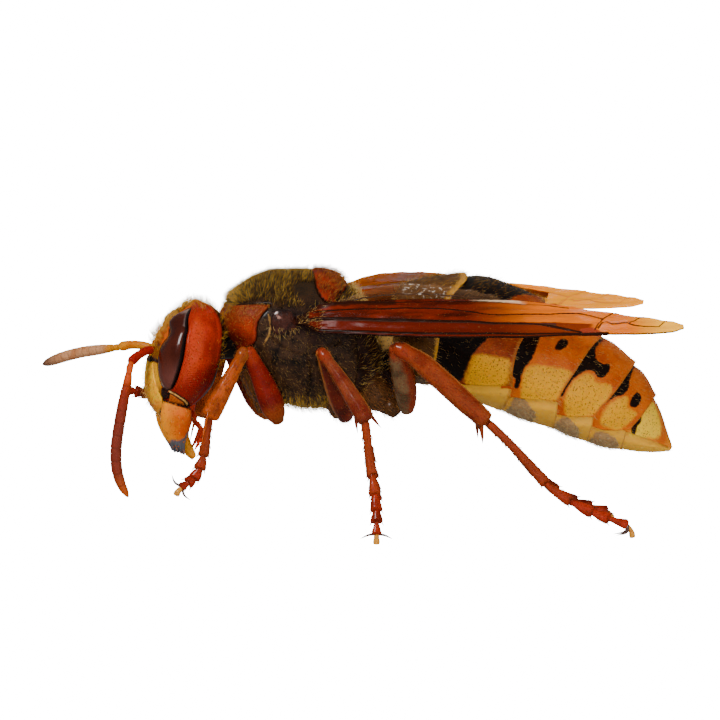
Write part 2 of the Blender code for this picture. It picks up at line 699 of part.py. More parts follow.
def gaster_section(row, shift=0.0, grow=0.0):
    """Slanting section of the gaster at a row number, moved back by shift along its axis."""
    table = tuple((i, *top, *bottom, half) for i, (top, bottom, half) in enumerate(GASTER))
    tx, tz, bx, bz, half = blend(table, row)
    top, bottom = Vector((tx, 0, tz)), Vector((bx, 0, bz))
    up = (top - bottom).normalized()
    back = Vector((up.z, 0, -up.x))
    centre = (top + bottom) / 2 + back * shift
    return ring(centre, Vector((0, -1, 0)), up, half + grow, (top - bottom).length / 2 + grow,
                GASTER_SIDES, GASTER_POWER)


def plate_solid(name, index):
    """One ring of the gaster, from its own front edge to its flared rear rim."""
    first, last = PLATE_ENDS[index], PLATE_ENDS[index + 1]
    steps = 5 if index == 0 else 4
    rings = []
    for i in range(steps + 1):
        share = i / steps
        shift = GAP / 2 * (1 - 2 * share)
        if index == 0:
            shift = min(shift, 0.0)
        if index == len(PLATE_ENDS) - 2:
            shift = max(shift, 0.0)
        grow = PLATE_FLARE * (share ** 2 - 0.5)
        if index == len(PLATE_ENDS) - 2:
            grow = -PLATE_FLARE * 0.5 * (1 - share)
        rings.append(gaster_section(first + (last - first) * share, shift, grow))
    return skin(name, rings, tip=index == len(PLATE_ENDS) - 2)


def forewing_point(x, across):
    """Middle surface of the left forewing, from its leading edge (0) to its fold (1)."""
    lead_y, lead_z, fold_y, fold_z = blend(FOREWING, x)
    share = (x - FOREWING[0][0]) / (FOREWING[-1][0] - FOREWING[0][0])
    camber = WING_CAMBER * math.sin(math.pi * across) * math.sin(math.pi * min(max(share, 0.0), 1.0)) ** 0.5
    return Vector((x, lead_y + (fold_y - lead_y) * across, lead_z + (fold_z - lead_z) * across + camber))


def forewing_up(x, across):
    """Upward direction of the forewing's surface."""
    ends = (FOREWING[0][0], FOREWING[-1][0])
    along = forewing_point(min(x + 0.1, ends[1]), across) - forewing_point(max(x - 0.1, ends[0]), across)
    over = forewing_point(x, min(across + 0.05, 1.0)) - forewing_point(x, max(across - 0.05, 0.0))
    up = along.cross(over).normalized()
    return up if up.z > 0 else -up


def forewing_width(x):
    """Width of the folded forewing at x."""
    return (forewing_point(x, 1.0) - forewing_point(x, 0.0)).length


def hindwing_width(x):
    """Width of the hindwing at x."""
    outer, reach = blend(HINDWING, x)
    return forewing_width(x) * (1.0 - outer) + reach


def hindwing_point(x, share):
    """Middle surface of the left hindwing: under the forewing, then turned up past its fold."""
    outer, reach = blend(HINDWING, x)
    below = WING_THICK + GAP + 0.03
    under = 0.6
    if share <= under:
        across = outer + (1.0 - outer) * share / under
        return forewing_point(x, across) - forewing_up(x, across) * below
    fold = forewing_point(x, 1.0) - forewing_up(x, 1.0) * below
    over = (forewing_point(x, 1.0) - forewing_point(x, 0.9)).normalized()
    turned = (over + forewing_up(x, 1.0) * HINDWING_TURN).normalized()
    return fold + turned * reach * (share - under) / (1 - under)


def wing_lines(veins, cross, span, width, spaces):
    """Where a wing's mesh lines run, so that each vein has a crest line between two feet.

    Gives the x of each column, and a function for the shares across and the crest heights there.
    """
    start, end = span
    xs = {start, end}
    xs |= {start + (end - start) * i / spaces for i in range(spaces)}
    for x, _, _ in cross:
        xs = {other for other in xs if abs(other - x) > 0.45}
        xs |= {x - VEIN_HALF, x, x + VEIN_HALF}

    def across(x):
        share = (x - start) / (end - start)
        places = [root + (tip - root) * share for root, tip, _, _, _ in veins]
        bounds = [-places[0], *places, 2.0 - places[-1]]
        lines = [(0.0, 0.0)]
        for here, low, high, (_, _, first, last, height) in zip(places, bounds, bounds[2:], veins):
            half = min(VEIN_HALF / max(width(x), 0.1), 0.40 * (here - low), 0.40 * (high - here))
            slim = min(half * width(x) / VEIN_HALF, 1.0)
            crest = height * slim if first <= x <= last else 0.0
            lines += [(here - half, 0.0), (here, crest), (here + half, 0.0)]
        for cross_x, low, high in cross:
            if abs(x - cross_x) < 0.001:
                height = min(veins[low][4], veins[high][4])
                first, last = 3 * low + 2, 3 * high + 2
                lines = [(t, max(h, height) if first <= k <= last else h) for k, (t, h) in enumerate(lines)]
        return lines + [(1.0, 0.0)]

    return sorted(xs), across


def wing_solid(name, point, span, veins, cross, width, spaces, side):
    """A folded wing: a slab of even thickness whose veins are ridges in both of its faces."""
    xs, across = wing_lines(veins, cross, span, width, spaces)
    upper, lower = [], []
    for x in xs:
        upper_line, lower_line = [], []
        for share, crest in across(x):
            p = point(x, share)
            over = point(x, min(share + 0.04, 1.0)) - point(x, max(share - 0.04, 0.0))
            along = point(min(x + 0.2, span[1]), share) - point(max(x - 0.2, span[0]), share)
            up = over.cross(along).normalized()
            if up.z < 0:
                up = -up
            half = WING_THICK / 2 + crest
            for line, q in ((upper_line, p + up * half), (lower_line, p - up * half)):
                line.append(q if side == "left" else far_wing(q))
        upper.append(upper_line)
        lower.append(lower_line)
    return patch(name, upper, lower)


def far_wing(p):
    """Where a point of a left wing is on the right side, whose wings are held higher."""
    share = (p.x - FOREWING[0][0]) / (FOREWING[-1][0] - FOREWING[0][0])
    lift = FAR_WING_LIFT * math.sin(math.pi * min(max(share, 0.0) * 1.2, 1.0) / 2)
    return Vector((p.x + FAR_WING_REACH * share, -p.y, p.z + lift))


def tegula_solid(name, side, grow=0.0):
    """The small domed plate over a wing's root."""
    x, y, z = mirrored(TEGULA, side)
    along, out, up = (size + grow for size in TEGULA_SIZE)
    rings = []
    for i in range(7):
        turn = math.pi * (i + 0.35) / 6.7
        size = math.sin(turn)
        rings.append(ring(Vector((x - along * math.cos(turn), y, z)), Vector((0, 1, 0)), Vector((0, 0, 1)),
                          out * size, up * size, 10))
    return skin(name, rings)


def scape_solid(name, side, **more):
    """First joint of a feeler."""
    radii = ((0, SCAPE_RADIUS), (0.7, SCAPE_RADIUS), (1, SCAPE_RADIUS * 1.15))
    return tube(name, SCAPE[side], radii, 8, 6, **more)


def flagellum_solid(name, side):
    """The rest of a feeler: the pedicel and ten rings, each a little waisted at its joints."""
    line = FLAGELLUM[side]
    rings = []
    side_way = None
    for i in range(RING_COUNT):
        for inner in (0.12, 0.88):
            share = (i + inner) / RING_COUNT
            here = on_line(line, share)
            ahead = heading(line, share)
            if side_way is None:
                side_way = ahead.orthogonal().normalized()
            side_way = (side_way - ahead * side_way.dot(ahead)).normalized()
            radius = RING_THIN + (RING_THICK - RING_THIN) * min(share * 2.2, 1.0)
            if share > 0.93:
                radius *= 0.62
            if inner < 0.5:
                radius *= 0.90
            rings.append(ring(here, side_way, ahead.cross(side_way), radius, radius, 8))
    return skin(name, rings, tip=True)


def leg_solids(leg):
    """The four pieces of one leg."""
    lines = LEGS[leg]
    pair, side = leg.split("_")
    sizes = LEG_SIZES[pair]

    def limb(name, part, steps, **more):
        flat = 1.0 if part == "coxa" else LEG_FLAT
        return tube(name, lines[part], sizes[part], LEG_SIDES, steps, flat=flat, **more)

    coxa = limb(f"{leg}_coxa", "coxa", 4)
    femur = limb(f"{leg}_femur", "femur", 7)
    combine(femur, "DIFFERENCE", limb("cut", "coxa", 4, ends=GAP, grow=GAP))
    tibia = limb(f"{leg}_tibia", "tibia", 6)
    combine(tibia, "DIFFERENCE", limb("cut", "femur", 7, ends=GAP, grow=GAP))
    fuse(tibia, spurs(Vector(lines["tibia"][-1]), pair, side))
    foot = foot_solid(f"{leg}_tarsus", lines["foot"], leg)
    combine(foot, "DIFFERENCE", limb("cut", "tibia", 6, ends=GAP, grow=GAP))
    return coxa, femur, tibia, foot


def foot_rings(line):
    """Sections of a foot of five joints, each wider at its far end."""
    stops = (0.0, *FOOT_SHARES, 1.0)
    rings = []
    side = Vector((0, 1, 0))
    for k in range(5):
        for inner in (0.04, 0.50, 0.95) if k in (0, 4) else (0.06, 0.93):
            share = stops[k] + (stops[k + 1] - stops[k]) * inner
            ahead = heading(line, share)
            side = (side - ahead * side.dot(ahead)).normalized()
            half = FOOT_HALF * (0.82 + 0.48 * inner)
            rings.append(ring(on_line(line, share), side, ahead.cross(side), half, half, FOOT_SIDES))
    return rings


def foot_frame(line, leg):
    """End of a foot, its direction, the way its claws spread and the way they bend."""
    end = Vector(line[-1])
    ahead = (end - Vector(line[-2])).normalized()
    sideways = leg in ("middle_right", "hind_left", "hind_right")
    spread = Vector((0, 1, 0)) if sideways else ahead.cross(Vector((0, 1, 0)))
    spread = (spread - ahead * spread.dot(ahead)).normalized()
    down = ahead.cross(spread)
    return end, ahead, spread, down if down.z < 0 else -down


def claws(foot_line, leg):
    """The pad and the two claws at the end of a foot."""
    end, ahead, spread, down = foot_frame(foot_line, leg)
    shape = leg if leg in CLAWS else leg.split("_")[0]
    if shape == "front":
        sole = end + ahead * 0.45 + Vector((0, 0, -0.30))
    else:
        sole = Vector((end.x + ahead.x * PAD_REACH, end.y, -0.05))
    halves = ((0, PAD_HALF * 0.9), (0.5, PAD_HALF * 0.85), (1, PAD_HALF))
    line = (end - ahead * 0.10, end.lerp(sole, 0.5) + ahead * 0.08, sole)
    pieces = [tube("pad", line, halves, FOOT_SIDES, 3)]
    for hand in (-1, 1):
        bend, tip = (end + spread * hand * out + ahead * on + down * under for out, on, under in CLAWS[shape])
        radii = ((0, CLAW_RADIUS), (0.5, CLAW_RADIUS * 0.8), (1, 0.05))
        pieces.append(tube("claw", (end + spread * hand * 0.10, bend, tip), radii, 4, 3))
    return pieces


def cone(name, root, direction, length, radius, sides=4):
    """A spine, from a root sunk in its carrier."""
    side = direction.orthogonal().normalized()
    bm = bmesh.new()
    foot = [bm.verts.new(p) for p in ring(root, side, direction.cross(side), radius, radius, sides)]
    tip = bm.verts.new(root + direction * length)
    bm.faces.new(foot)
    for i in range(sides):
        bm.faces.new((foot[i], foot[(i + 1) % sides], tip))
    return new_object(name, bm)


def foot_spines(line):
    """Pairs of spines at the ends of a foot's joints."""
    pieces = []
    for share in SPINE_PLACES:
        ahead = heading(line, share)
        out = (ahead.cross(Vector((0, 1, 0))) + Vector((0, 0.35, 0))).normalized()
        for hand in (-1, 1):
            root = on_line(line, share) + out * hand * FOOT_HALF * 0.75
            direction = (out * hand * 0.50 + ahead).normalized()
            pieces.append(cone("spine", root, direction, SPINE_LENGTH, SPINE_RADIUS))
    return pieces


def foot_solid(name, line, leg):
    """A foot with its spines, pad and claws."""
    obj = skin(name, foot_rings(line))
    return fuse(obj, foot_spines(line) + claws(line, leg))


def spurs(ankle, pair, side):
    """The spurs at the end of a tibia."""
    pieces = []
    for root, direction, length, radius in SPURS[pair]:
        lean = Vector(mirrored(direction, side)).normalized()
        start = ankle + Vector(mirrored(root, side)) - lean * 0.25
        pieces.append(cone("spur", start, lean, length + 0.25, radius, 5))
    return pieces


def flat_sole(obj):
    """Cuts a foot flat at the floor."""
    bm = bmesh.new()
    bm.from_mesh(obj.data)
    cut = bmesh.ops.bisect_plane(bm, geom=bm.verts[:] + bm.edges[:] + bm.faces[:], dist=0.0000005,
                                 plane_co=(0, 0, 0), plane_no=(0, 0, -1), clear_outer=True)
    edges = [e for e in cut["geom_cut"] if isinstance(e, bmesh.types.BMEdge)]
    if edges:
        filled = bmesh.ops.contextual_create(bm, geom=edges)
        bmesh.ops.triangulate(bm, faces=filled["faces"])
    bmesh.ops.recalc_face_normals(bm, faces=bm.faces)
    bm.to_mesh(obj.data)
    bm.free()


def build_head():
    """Head, eyes, clypeus, jaws and feelers."""
    head = head_solid("head")
    fuse(head, [ocellus_solid(place) for place in OCELLI])
    for side in ("left", "right"):
        combine(head, "DIFFERENCE", eye_solid("socket", side, GAP))
        finish(eye_solid(f"eye_{side}", side), MAROON, 0.12)
    combine(head, "DIFFERENCE", clypeus_solid("bed", GAP))
    finish(head, RUST)
    finish(clypeus_solid("clypeus"), YELLOW)
    around = head_solid("around_head", GAP)
    for side in ("left", "right"):
        mandible = mandible_solid(f"mandible_{side}", side)
        combine(mandible, "DIFFERENCE", around, keep_cutter=True)
        combine(mandible, "DIFFERENCE", clypeus_solid("cut", GAP))
        finish(mandible, AMBER)
    mouth = mouth_solid("mouthparts")
    combine(mouth, "DIFFERENCE", around, keep_cutter=True)
    for side in ("left", "right"):
        combine(mouth, "DIFFERENCE", skin("cut", mandible_rings(side, GAP)))
    finish(mouth, AMBER)
    for side in ("left", "right"):
        flagellum = flagellum_solid(f"antenna_{side}_flagellum", side)
        combine(flagellum, "DIFFERENCE", scape_solid("cut", side, ends=GAP, grow=GAP))
        finish(flagellum, CHESTNUT)
        scape = scape_solid(f"antenna_{side}_scape", side)
        combine(scape, "DIFFERENCE", around, keep_cutter=True)
        combine(scape, "DIFFERENCE", clypeus_solid("cut", GAP))
        finish(scape, CHESTNUT)
    neck = tube("neck", ((-9.6, 0, 11.9), (-7.0, 0, 12.2)), ((0, 1.0), (1, 1.3)), 14, 3)
    combine(neck, "DIFFERENCE", around, keep_cutter=True)
    combine(neck, "DIFFERENCE", thorax_solid("cut", GAP))
    finish(neck, BLACK_BROWN)
    remove(around)


def grown_outline(outline, gap):
    """An (x, z) outline moved outwards by a gap."""
    count = len(outline)
    area = sum(a[0] * b[1] - b[0] * a[1] for a, b in zip(outline, outline[1:] + outline[:1]))
    turn = 1.0 if area > 0 else -1.0
    grown = []
    for i in range(count):
        p = Vector(outline[i])
        to_here = (p - Vector(outline[i - 1])).normalized()
        from_here = (Vector(outline[(i + 1) % count]) - p).normalized()
        out_a = Vector((to_here.y, -to_here.x)) * turn
        out_b = Vector((from_here.y, -from_here.x)) * turn
        middle = (out_a + out_b).normalized()
        grown.append(tuple(p + middle * gap / max(middle.dot(out_a), 0.4)))
    return tuple(grown)


def build_thorax():
    """Pronotum, mesothorax, scutellum and propodeum, parted from one body, and the tegulae."""
    pronotum = thorax_solid("pronotum")
    combine(pronotum, "INTERSECT", prism("cut", COLLAR, 6.0))
    combine(pronotum, "DIFFERENCE", head_solid("cut", GAP))
    finish(pronotum, CHESTNUT)
    scutellum = thorax_solid("scutellum")
    combine(scutellum, "INTERSECT", prism("cut", SHIELD, SHIELD_HALF))
    finish(scutellum, CHESTNUT)
    propodeum = thorax_solid("propodeum")
    combine(propodeum, "INTERSECT", prism("cut", WAIST_CUT, 6.0))
    combine(propodeum, "DIFFERENCE", prism("cut", grown_outline(SHIELD, GAP), SHIELD_HALF + GAP))
    finish(propodeum, BLACK_BROWN)
    mesothorax = thorax_solid("mesothorax")
    combine(mesothorax, "DIFFERENCE", prism("cut", grown_outline(COLLAR, GAP), 6.0))
    combine(mesothorax, "DIFFERENCE", prism("cut", grown_outline(SHIELD, GAP), SHIELD_HALF + GAP))
    combine(mesothorax, "DIFFERENCE", prism("cut", grown_outline(WAIST_CUT, GAP), 6.0))
    finish(mesothorax, BLACK_BROWN)
    for side in ("left", "right"):
        tegula = tegula_solid(f"tegula_{side}", side)
        combine(tegula, "DIFFERENCE", thorax_solid("cut", GAP))
        finish(tegula, MAROON, 0.2)


def build_gaster():
    """The six rings of the gaster."""
    colours = (BLACK_BROWN, BLACK_BROWN, YELLOW, YELLOW, YELLOW, AMBER)
    for index, colour in enumerate(colours):
        finish(plate_solid(f"abdomen_segment_{index + 1}", index), colour)


def build_wings():
    """Both pairs of wings, folded along the body."""
    for side in ("left", "right"):
        span = (FOREWING[0][0], FOREWING[-1][0])
        forewing = wing_solid(f"forewing_{side}", forewing_point, span, FOREWING_VEINS, FOREWING_CROSS,
                              forewing_width, 9, side)
        span = (HINDWING[0][0], HINDWING[-1][0])
        hindwing = wing_solid(f"hindwing_{side}", hindwing_point, span, HINDWING_VEINS, (),
                              hindwing_width, 10, side)
        for wing in (forewing, hindwing):
            combine(wing, "DIFFERENCE", thorax_solid("cut", GAP))
            combine(wing, "DIFFERENCE", tegula_solid("cut", side, GAP))
        finish(forewing, AMBER, 0.2)
        finish(hindwing, AMBER, 0.2)


def build_legs():
    """All six legs."""
    around = thorax_solid("around_thorax", GAP)
    for leg in LEGS:
        coxa, femur, tibia, foot = leg_solids(leg)
        for piece in (coxa, femur):
            combine(piece, "DIFFERENCE", around, keep_cutter=True)
        flat_sole(foot)
        finish(coxa, BLACK_BROWN)
        for piece in (femur, tibia, foot):
            finish(piece, CHESTNUT)
    remove(around)


def main():
    for obj in list(bpy.data.objects):
        bpy.data.objects.remove(obj)
    build_head()
    build_thorax()
    build_gaster()
    build_wings()
    build_legs()


main()
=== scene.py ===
"""Looks of a life-size hornet queen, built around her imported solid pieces.

She faces -X, her left side is -Y and +Z is up. Tables here are in millimetres, as in the solids'
source; meshes are made in metres. Every skin is a grid of points over a surface, so that its
markings and its hairs can be placed in the surface's own measures.
"""

import logging
import math
from dataclasses import dataclass, field, replace
from enum import Enum

import bpy
import numpy as np
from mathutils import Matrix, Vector


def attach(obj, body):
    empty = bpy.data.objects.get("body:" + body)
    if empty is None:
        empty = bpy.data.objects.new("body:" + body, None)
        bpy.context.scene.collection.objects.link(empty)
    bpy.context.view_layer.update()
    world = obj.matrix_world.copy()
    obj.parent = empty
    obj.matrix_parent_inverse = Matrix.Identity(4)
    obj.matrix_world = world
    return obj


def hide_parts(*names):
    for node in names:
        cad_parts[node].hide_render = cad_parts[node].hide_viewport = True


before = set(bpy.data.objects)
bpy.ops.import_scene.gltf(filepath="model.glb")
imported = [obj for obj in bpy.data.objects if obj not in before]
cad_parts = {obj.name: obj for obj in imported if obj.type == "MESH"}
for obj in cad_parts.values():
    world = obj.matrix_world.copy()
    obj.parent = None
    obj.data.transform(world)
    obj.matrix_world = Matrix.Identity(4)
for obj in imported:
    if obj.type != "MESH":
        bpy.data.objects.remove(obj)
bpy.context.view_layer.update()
MM = 0.001
BODY = "root"
SIDES = ("left", "right")
HAIRS_IN_PIECE = 18000
COLUMNS = 264            # columns of the trunk's and the abdomen's skins
Array = np.ndarray
Colour = str
log = logging.getLogger("hornet")


def hue(code: Colour) -> tuple[float, ...]:
    """Linear colour of a six-figure code such as b4501e."""
    parts = [int(code[i:i + 2], 16) / 255 for i in (0, 2, 4)]
    return tuple(p / 12.92 if p < 0.04045 else ((p + 0.055) / 1.055) ** 2.4 for p in parts)


def unit(vectors: Array) -> Array:
    """Vectors of length one along the last axis."""
    return vectors / np.maximum(np.linalg.norm(vectors, axis=-1, keepdims=True), 1e-12)


def ease(value: Array, low: float, high: float) -> Array:
    """Smooth step from 0 at low to 1 at high."""
    t = np.clip((np.asarray(value, float) - low) / (high - low), 0, 1)
    return t * t * (3 - 2 * t)


def power(value: Array, exponent: float) -> Array:
    """A signed power, for superellipse sections."""
    return np.sign(value) * np.abs(value) ** (2.0 / exponent)


def grain(points: Array, per_mm: float, seed: int = 0) -> Array:
    """Smooth noise between -1 and 1.

    Args:
        points: places in mm, in the last axis.
        per_mm: how many cells of the noise lie in a millimetre.
        seed: picks another noise.

    Returns:
        One value for each place.
    """
    q = points * per_mm + seed * 17.31
    cell = np.floor(q).astype(np.int64)
    part = q - cell
    part = part * part * (3 - 2 * part)
    total = np.zeros(points.shape[:-1])
    for corner in np.ndindex(2, 2, 2):
        c = cell + np.array(corner)
        code = (c[..., 0] * 73856093) ^ (c[..., 1] * 19349663) ^ (c[..., 2] * 83492791)
        code = ((code ^ (code >> 13)) * 1274126177) & 0x7FFFFFFF
        weight = np.prod(np.where(np.array(corner) == 1, part, 1 - part), axis=-1)
        total += ((code % 10007) / 5003.0 - 1) * weight
    return total


@dataclass(frozen=True)
class Table:
    """Rows of numbers, read smoothly between the values of their first column."""

    rows: tuple[tuple[float, ...], ...]

    def at(self, x: Array) -> Array:
        """Reads the table.

        Args:
            x: values of the first column, in any shape.

        Returns:
            The other columns there, as one more axis at the end.
        """
        data = np.array(sorted(self.rows), float)
        keys, values = data[:, 0], data[:, 1:]
        x = np.clip(np.asarray(x, float), keys[0], keys[-1])
        i = np.clip(np.searchsorted(keys, x, side="right") - 1, 0, len(keys) - 2)
        before, after = np.maximum(i - 1, 0), np.minimum(i + 2, len(keys) - 1)
        span = (keys[i + 1] - keys[i])[..., None]
        t = (x - keys[i])[..., None] / span
        start = (values[i + 1] - values[before]) / (keys[i + 1] - keys[before])[..., None] * span
        end = (values[after] - values[i]) / (keys[after] - keys[i])[..., None] * span
        return ((2 * t ** 3 - 3 * t ** 2 + 1) * values[i] + (t ** 3 - 2 * t ** 2 + t) * start
                + (3 * t ** 2 - 2 * t ** 3) * values[i + 1] + (t ** 3 - t ** 2) * end)


@dataclass(frozen=True)
class Line:
    """A smooth line through points."""

    points: tuple[tuple[float, float, float], ...]

    def table(self) -> Table:
        """The points as rows that start with their share of the way along."""
        places = np.array(self.points, float)
        run = np.concatenate([[0], np.cumsum(np.linalg.norm(np.diff(places, axis=0), axis=1))])
        return Table(tuple((s, *p) for s, p in zip(run / run[-1], places)))

    def at(self, share: Array) -> Array:
        """Points at shares of the way along."""
        return self.table().at(share)

    def ahead(self, share: Array, step: float = 0.01) -> Array:
        """Directions of the line at shares of the way along."""
        share = np.asarray(share, float)
        return unit(self.at(np.minimum(share + step, 1)) - self.at(np.maximum(share - step, 0)))


@dataclass
class Skin:
    """A grid of points over a surface, with two measures of each point."""

    points: Array
    along: Array
    turn: Array
    around: bool = True

    def normals(self) -> Array:
        """Unit normals of the grid, pointing away from the middle of its rows."""
        down = np.gradient(self.points, axis=0)
        if self.around:
            over = (np.roll(self.points, -1, axis=1) - np.roll(self.points, 1, axis=1)) / 2
        else:
            over = np.gradient(self.points, axis=1)
        out = unit(np.cross(down, over))
        middle = self.points.mean(axis=1, keepdims=True)
        return out * np.sign(np.sum(out * (self.points - middle)))

    def raised(self, height: Array) -> "Skin":
        """The skin moved out along its normals by a height for each point."""
        return replace(self, points=self.points + self.normals() * np.asarray(height)[..., None])


@dataclass(frozen=True)
class Drawing:
    """A shape drawn on a skin in two of its measures: a closed outline, or a line with a width."""

    points: tuple[tuple[float, float], ...]
    scale: tuple[float, float] = (1.0, 1.0)
    half: float = 0.0
    smooth: int = 4

    def path(self) -> Array:
        """Its points in mm, with more of them on a smooth curve in between."""
        p = np.array(self.points, float) * self.scale
        closed = self.half == 0.0
        count = len(p) if closed else len(p) - 1
        rows = []
        for i in range(count):
            if closed:
                a, b, c, d = (p[(i + k) % len(p)] for k in (-1, 0, 1, 2))
            else:
                a, b, c, d = (p[min(max(i + k, 0), len(p) - 1)] for k in (-1, 0, 1, 2))
            for t in np.arange(self.smooth) / self.smooth:
                rows.append(b + 0.5 * t * (c - a) + t * t * (a - 2.5 * b + 2 * c - 0.5 * d)
                            + t ** 3 * (1.5 * (b - c) + 0.5 * (d - a)))
        rows.append(rows[0] if closed else p[-1])
        return np.array(rows)

    def depth(self, a: Array, b: Array) -> Array:
        """How far inside the shape places are.

        Args:
            a: the first measure of each place.
            b: the second measure of each place.

        Returns:
            Distances in mm, below zero outside.
        """
        x, y = a * self.scale[0], b * self.scale[1]
        path = self.path()
        near = np.full(np.shape(x), np.inf)
        inside = np.zeros(np.shape(x), bool)
        for (ax, ay), (bx, by) in zip(path, path[1:]):
            dx, dy = bx - ax, by - ay
            t = np.clip(((x - ax) * dx + (y - ay) * dy) / (dx * dx + dy * dy + 1e-12), 0, 1)
            near = np.minimum(near, np.hypot(x - ax - t * dx, y - ay - t * dy))
            if (ay > y).any() or (by > y).any():
                crossing = ((ay > y) != (by > y)) & (x < dx * (y - ay) / (dy if dy else 1e-12) + ax)
                inside ^= crossing
        return self.half - near if self.half else np.where(inside, near, -near)


def deepest(*depths: Array) -> Array:
    """The largest depth at each place, so that several drawings count as one."""
    return np.maximum.reduce(depths)


class End(Enum):
    """How the first and last rows of a grid are closed."""

    HUB = "hub"
    STRIP = "strip"


class Draft:
    """The faces of one piece, gathered before they become a mesh."""

    def __init__(self, name: str) -> None:
        """Starts an empty piece.

        Args:
            name: the piece's name.
        """
        self.name = name
        self.points: list[Array] = []
        self.faces: dict[int, list[Array]] = {3: [], 4: []}
        self.layers: dict[str, list[tuple[int, Array]]] = {}
        self.uvs: list[Array] = []
        self.count = 0

    def add(self, points: Array, quads: Array, tris: Array, layers: dict[str, Array]) -> None:
        """Adds vertices with their faces, and values on them.

        Args:
            points: vertices in mm.
            quads: four vertex numbers a row.
            tris: three vertex numbers a row.
            layers: values by name, one for each vertex.
        """
        self.faces[4].append(quads + self.count)
        self.faces[3].append(tris + self.count)
        for name, values in layers.items():
            self.layers.setdefault(name, []).append((self.count, np.asarray(values, float)))
        self.points.append(points)
        self.count += len(points)

    def skin(self, skin: Skin, end: End = End.HUB, **layers: Array | float) -> "Draft":
        """Adds a skin whose rows run all the way round, as a closed body.

        Args:
            skin: the grid.
            end: how its first and last rows are closed.
            layers: values for each point of the grid.

        Returns:
            This draft, so that calls can follow each other.
        """
        rows, columns = skin.points.shape[:2]
        index = np.arange(rows * columns).reshape(rows, columns)
        beside = np.roll(index, -1, axis=1)
        quads = np.stack([index[:-1], beside[:-1], beside[1:], index[1:]], -1).reshape(-1, 4)
        points = skin.points.reshape(-1, 3)
        values = {name: np.broadcast_to(v, (rows, columns)).reshape(-1) for name, v in layers.items()}
        tris = np.zeros((0, 3), int)
        if end is End.HUB:
            first, last = rows * columns, rows * columns + 1
            points = np.concatenate([points, [skin.points[0].mean(0), skin.points[-1].mean(0)]])
            values = {name: np.concatenate([v, [v[:columns].mean(), v[-columns:].mean()]])
                      for name, v in values.items()}
            tris = np.concatenate([
                np.stack([beside[0], index[0], np.full(columns, first)], -1),
                np.stack([index[-1], beside[-1], np.full(columns, last)], -1)])
        else:
            j = np.arange(columns // 2 - 1)
            for row, turn in ((index[0], -1), (index[-1], 1)):
                strip = np.stack([row[j], row[j + 1], row[columns - 2 - j], row[columns - 1 - j]], -1)
                quads = np.concatenate([quads, strip[:, ::turn]])
        corners = np.concatenate([quads[:, :3], quads[:, [0, 2, 3]], tris])
        a, b, c = (points[corners[:, k]] for k in range(3))
        if np.sum(a * np.cross(b, c)) < 0:
            quads, tris = quads[:, ::-1], tris[:, ::-1]
        self.add(points, quads, tris, values)
        return self

    def slab(self, outer: Array, inner: Array, /, **layers: Array | float) -> "Draft":
        """Adds a thin form between two grids that are alike in rows and columns.

        Args:
            outer: points of the upper grid.
            inner: points of the lower grid.
            layers: values for each point of one grid, which both faces get.

        Returns:
            This draft.
        """
        both = {name: np.broadcast_to(v, outer.shape[:2]) for name, v in layers.items()}
        both = {name: np.concatenate([v, v[:, ::-1]], axis=1) for name, v in both.items()}
        points = np.concatenate([outer, inner[:, ::-1]], axis=1)
        blank = np.zeros(points.shape[:2])
        return self.skin(Skin(points, blank, blank), End.STRIP, **both)

    def build(self, material: bpy.types.Material, slot: str, *nodes: str) -> bpy.types.Object:
        """Makes the mesh object, which rides on the body.

        Args:
            material: its finish.
            slot: the record's material slot; not used.
            nodes: the solid pieces that it stands for.

        Returns:
            The new object.
        """
        mesh = bpy.data.meshes.new(self.name)
        mesh.vertices.add(self.count)
        mesh.vertices.foreach_set("co", (np.concatenate(self.points) * MM).astype(np.float32).ravel())
        quads, tris = np.concatenate(self.faces[4]), np.concatenate(self.faces[3])
        corners = np.concatenate([quads.ravel(), tris.ravel()]).astype(np.int32)
        starts = np.concatenate([np.arange(len(quads)) * 4, 4 * len(quads) + np.arange(len(tris)) * 3])
        mesh.loops.add(len(corners))
        mesh.loops.foreach_set("vertex_index", corners)
        mesh.polygons.add(len(starts))
        mesh.polygons.foreach_set("loop_start", starts.astype(np.int32))
        mesh.update(calc_edges=True)
        for name, parts in self.layers.items():
            values = np.zeros(self.count, np.float32)
            for start, part in parts:
                values[start:start + len(part)] = part
            mesh.attributes.new(name, "FLOAT", "POINT").data.foreach_set("value", values)
        if self.uvs:
            flat = np.concatenate(self.uvs)[corners]
            mesh.uv_layers.new(name="OFBake").data.foreach_set("uv", flat.astype(np.float32).ravel())
        mesh.shade_smooth()
        mesh.materials.append(material)
        piece = bpy.data.objects.new(self.name, mesh)
        bpy.context.scene.collection.objects.link(piece)
        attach(piece, BODY)
        if nodes:
            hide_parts(*nodes)
        log.info("%s: %d vertices", self.name, self.count)
        return piece


